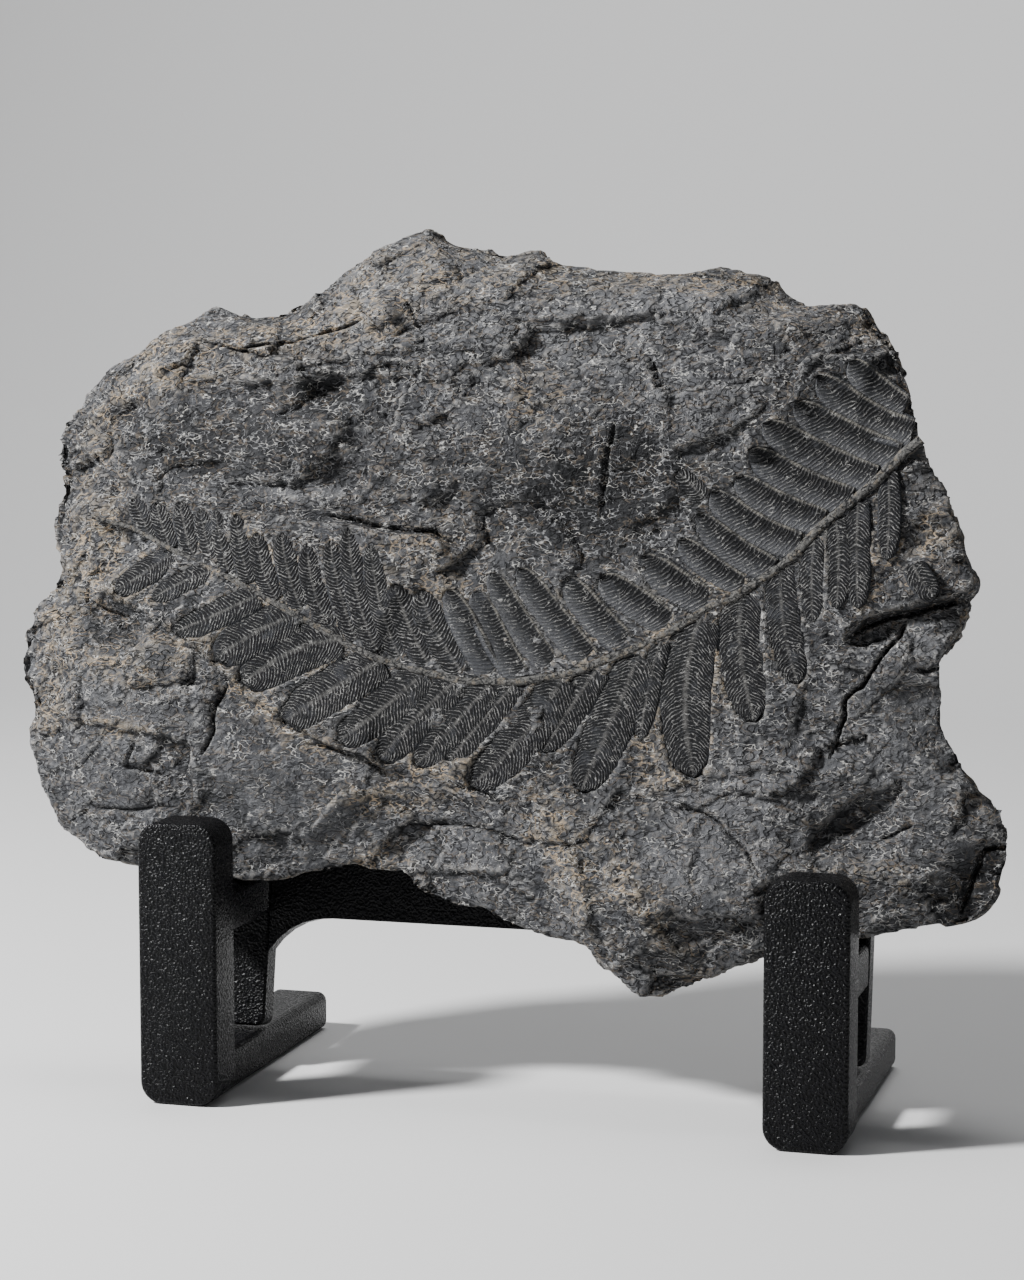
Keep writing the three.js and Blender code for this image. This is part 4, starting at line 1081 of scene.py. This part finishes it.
def leaflet_material():
    finish = Finish("fern_carbon_film", 0.5, 0.1)
    veins = film_veins(finish)
    mottled = finish.noise(3.5, 6, 0.7)
    folded = finish.value("folded")
    finish.colour = finish.mix(finish.spread(mottled, 0.3, 0.7), FILM_DARK_AND_SHADE, FILM)
    finish.paint(finish.times(folded, 0.25), FILM_DUSTY)
    # Pale vein lines: partly the veins' own colour, partly painted highlight on their crests.
    vein_colour_and_highlight = finish.mix(finish.spread(finish.noise(1.4, 3), 0.4, 0.6), VEIN_DULL, VEIN_PALE_AND_HIGHLIGHT)
    finish.paint(finish.times(veins, 0.9), vein_colour_and_highlight)
    # Painted shade in each band's trough just below its crest.
    finish.paint(finish.spread(finish.value("shade"), 0, 1, 0, 0.7), FILM_DARK_AND_SHADE)
    # Painted highlight on each band's rising side.
    finish.paint(finish.spread(finish.value("rise"), 0, 1, 0, 0.42), SLATE_PALE_AND_HIGHLIGHT)
    # The blades' midrib tint, and on bands the crest line, partly a paler edge and partly painted highlight.
    rib = finish.times(finish.spread(finish.value("rib"), 0.2, 0.9, 0, 0.8),
                       finish.spread(finish.noise(2.4, 4), 0.4, 0.56, 0.15, 1))
    finish.paint(rib, finish.mix(folded, MIDRIB_TINT, CREST_TINT_AND_HIGHLIGHT))
    flecks = finish.times(finish.curls(1.3, 0.03), finish.spread(finish.noise(3.0, 3), 0.56, 0.62))
    finish.paint(finish.times(flecks, 0.5), FLECK)
    margin = finish.plus(finish.value("edge"), finish.times(finish.noise(2.0, 5), 0.6))
    finish.paint(finish.spread(margin, 1.14, 1.28), SLATE)
    finish.paint(finish.spread(finish.noise(9, 5, 0.65), 0.57, 0.66, 0, 0.6), SLATE)
    ridged = finish.bump(veins, 0.4, 1.0)
    normal = finish.bump(finish.noise(1.2, 6, 0.75), 0.7, 0.9, ridged)
    return finish.done(normal, finish.spread(mottled, 0.3, 0.7, 0.42, 0.7))


def rachis_material():
    finish = Finish("fern_rachis_stone", 0.75, 0.2)
    finish.colour = finish.mix(finish.spread(finish.noise(1.1, 6, 0.8), 0.36, 0.62), SLATE_DEEP_AND_SHADE, BARK)
    finish.paint(finish.strokes(*BARK_STROKES), SLATE_DEEP_AND_SHADE)
    finish.paint(finish.spread(finish.noise(2.6, 5, 0.7), 0.54, 0.62, 0, 0.6), WEATHERED)
    return finish.done(finish.bump(finish.noise(1.1, 7, 0.75), 1.2, 0.9))


def powder_coat_material():
    finish = Finish("wrinkle_powder_coat", 0.35, 0.12)
    wrinkles = finish.noise(0.8, 1, 0.4)
    finish.colour = finish.mix(finish.spread(wrinkles, 0.4, 0.62), COAT_DARK, COAT_GREY)
    normal = finish.bump(finish.spread(wrinkles, 0.3, 0.7), 0.34, 1.0)
    return finish.done(normal, finish.spread(wrinkles, 0.4, 0.6, 0.38, 0.22))


def post_piece(side, material):
    """A front post: a block with round corners and a soft edge all round."""
    node = f"{side}_front_post"
    low, high = (Vector(corner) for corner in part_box(node))
    work = bmesh.new()
    bmesh.ops.create_cube(work, size=1)
    bmesh.ops.scale(work, vec=high - low, verts=work.verts)
    bmesh.ops.translate(work, vec=(low + high) / 2, verts=work.verts)
    through = [e for e in work.edges if abs((e.verts[0].co - e.verts[1].co).normalized().y) > FRONT_TO_BACK]
    bmesh.ops.bevel(work, geom=through, offset=POST_CORNER * MM, segments=12, profile=0.5, affect="EDGES",
                    material=-1)
    rims = [e for e in work.edges if len(e.link_faces) == 2 and e.calc_face_angle() > SHARP]
    bmesh.ops.bevel(work, geom=rims, offset=POST_EDGE * MM, segments=4, profile=0.5, affect="EDGES",
                    material=-1)
    mesh = bpy.data.meshes.new(node + "_coated")
    finish_mesh(work, mesh)
    piece = new_object(node + "_coated", mesh, material)
    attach(piece, "root")
    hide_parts(node)


def stand(material):
    for side in ("left", "right"):
        post_piece(side, material)
    for name in PLAIN_BARS:
        bar = bpy.data.objects[name]
        bar.data.materials.clear()
        bar.data.materials.append(material)


def slab():
    """The stone with its frond: four meshes of one natural thing."""
    stone = stone_piece(slate_material())
    film = leaflet_material()
    blade_leaflets = frond_piece("frond_open_leaflets", blades, open_kind, film)
    band_leaflets = frond_piece("frond_folded_leaflets", bands, folded_kind, film)
    stem = rachis_piece(rachis_material())
    for piece in (stone, blade_leaflets, band_leaflets, stem):
        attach(piece, "root")
    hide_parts("fossil_slab")


def camera():
    data = bpy.data.cameras.new("camera")
    data.sensor_width = SENSOR
    data.lens = FOCAL * SENSOR / PICTURE_HEIGHT
    data.clip_start = 0.05
    made = bpy.data.objects.new("camera", data)
    made.location = face_middle - forward * DISTANCE * MM
    made.rotation_euler = forward.to_track_quat("-Z", "Y").to_euler()
    bpy.context.scene.collection.objects.link(made)
    bpy.context.scene.camera = made


def softbox(name, place, aim, size, power):
    data = bpy.data.lights.new(name, "AREA")
    data.shape = "DISK"
    data.size = size
    data.energy = power
    lamp = bpy.data.objects.new(name, data)
    lamp.location = place
    lamp.rotation_euler = (Vector(aim) - Vector(place)).to_track_quat("-Z", "Y").to_euler()
    bpy.context.scene.collection.objects.link(lamp)


def backdrop(material):
    """A pale floor that curves up into a wall far behind."""
    work = bmesh.new()
    bmesh.ops.create_grid(work, x_segments=2, y_segments=FLOOR_ROWS, size=FLOOR_SIZE)
    for v in work.verts:
        turn = min(max((v.co.y - SWEEP_START) / SWEEP_RADIUS, 0), math.pi / 2)
        if turn > 0:
            above = max(v.co.y - SWEEP_START - SWEEP_RADIUS * math.pi / 2, 0)
            v.co.z = SWEEP_RADIUS * (1 - math.cos(turn)) + above
            v.co.y = SWEEP_START + SWEEP_RADIUS * math.sin(turn)
    mesh = bpy.data.meshes.new("floor")
    finish_mesh(work, mesh)
    new_object("floor", mesh, material)


def studio():
    pale = Finish("pale_floor", 0.75)
    pale.shader.inputs["Base Color"].default_value = FLOOR_GREY
    backdrop(pale.material)
    for lamp in LAMPS:
        softbox(*lamp)
    world = bpy.data.worlds.new("studio")
    world.use_nodes = True
    world.node_tree.nodes["Background"].inputs["Color"].default_value = SKY
    world.node_tree.nodes["Background"].inputs["Strength"].default_value = SKY_STRENGTH
    bpy.context.scene.world = world


camera()
studio()
slab()
stand(powder_coat_material())
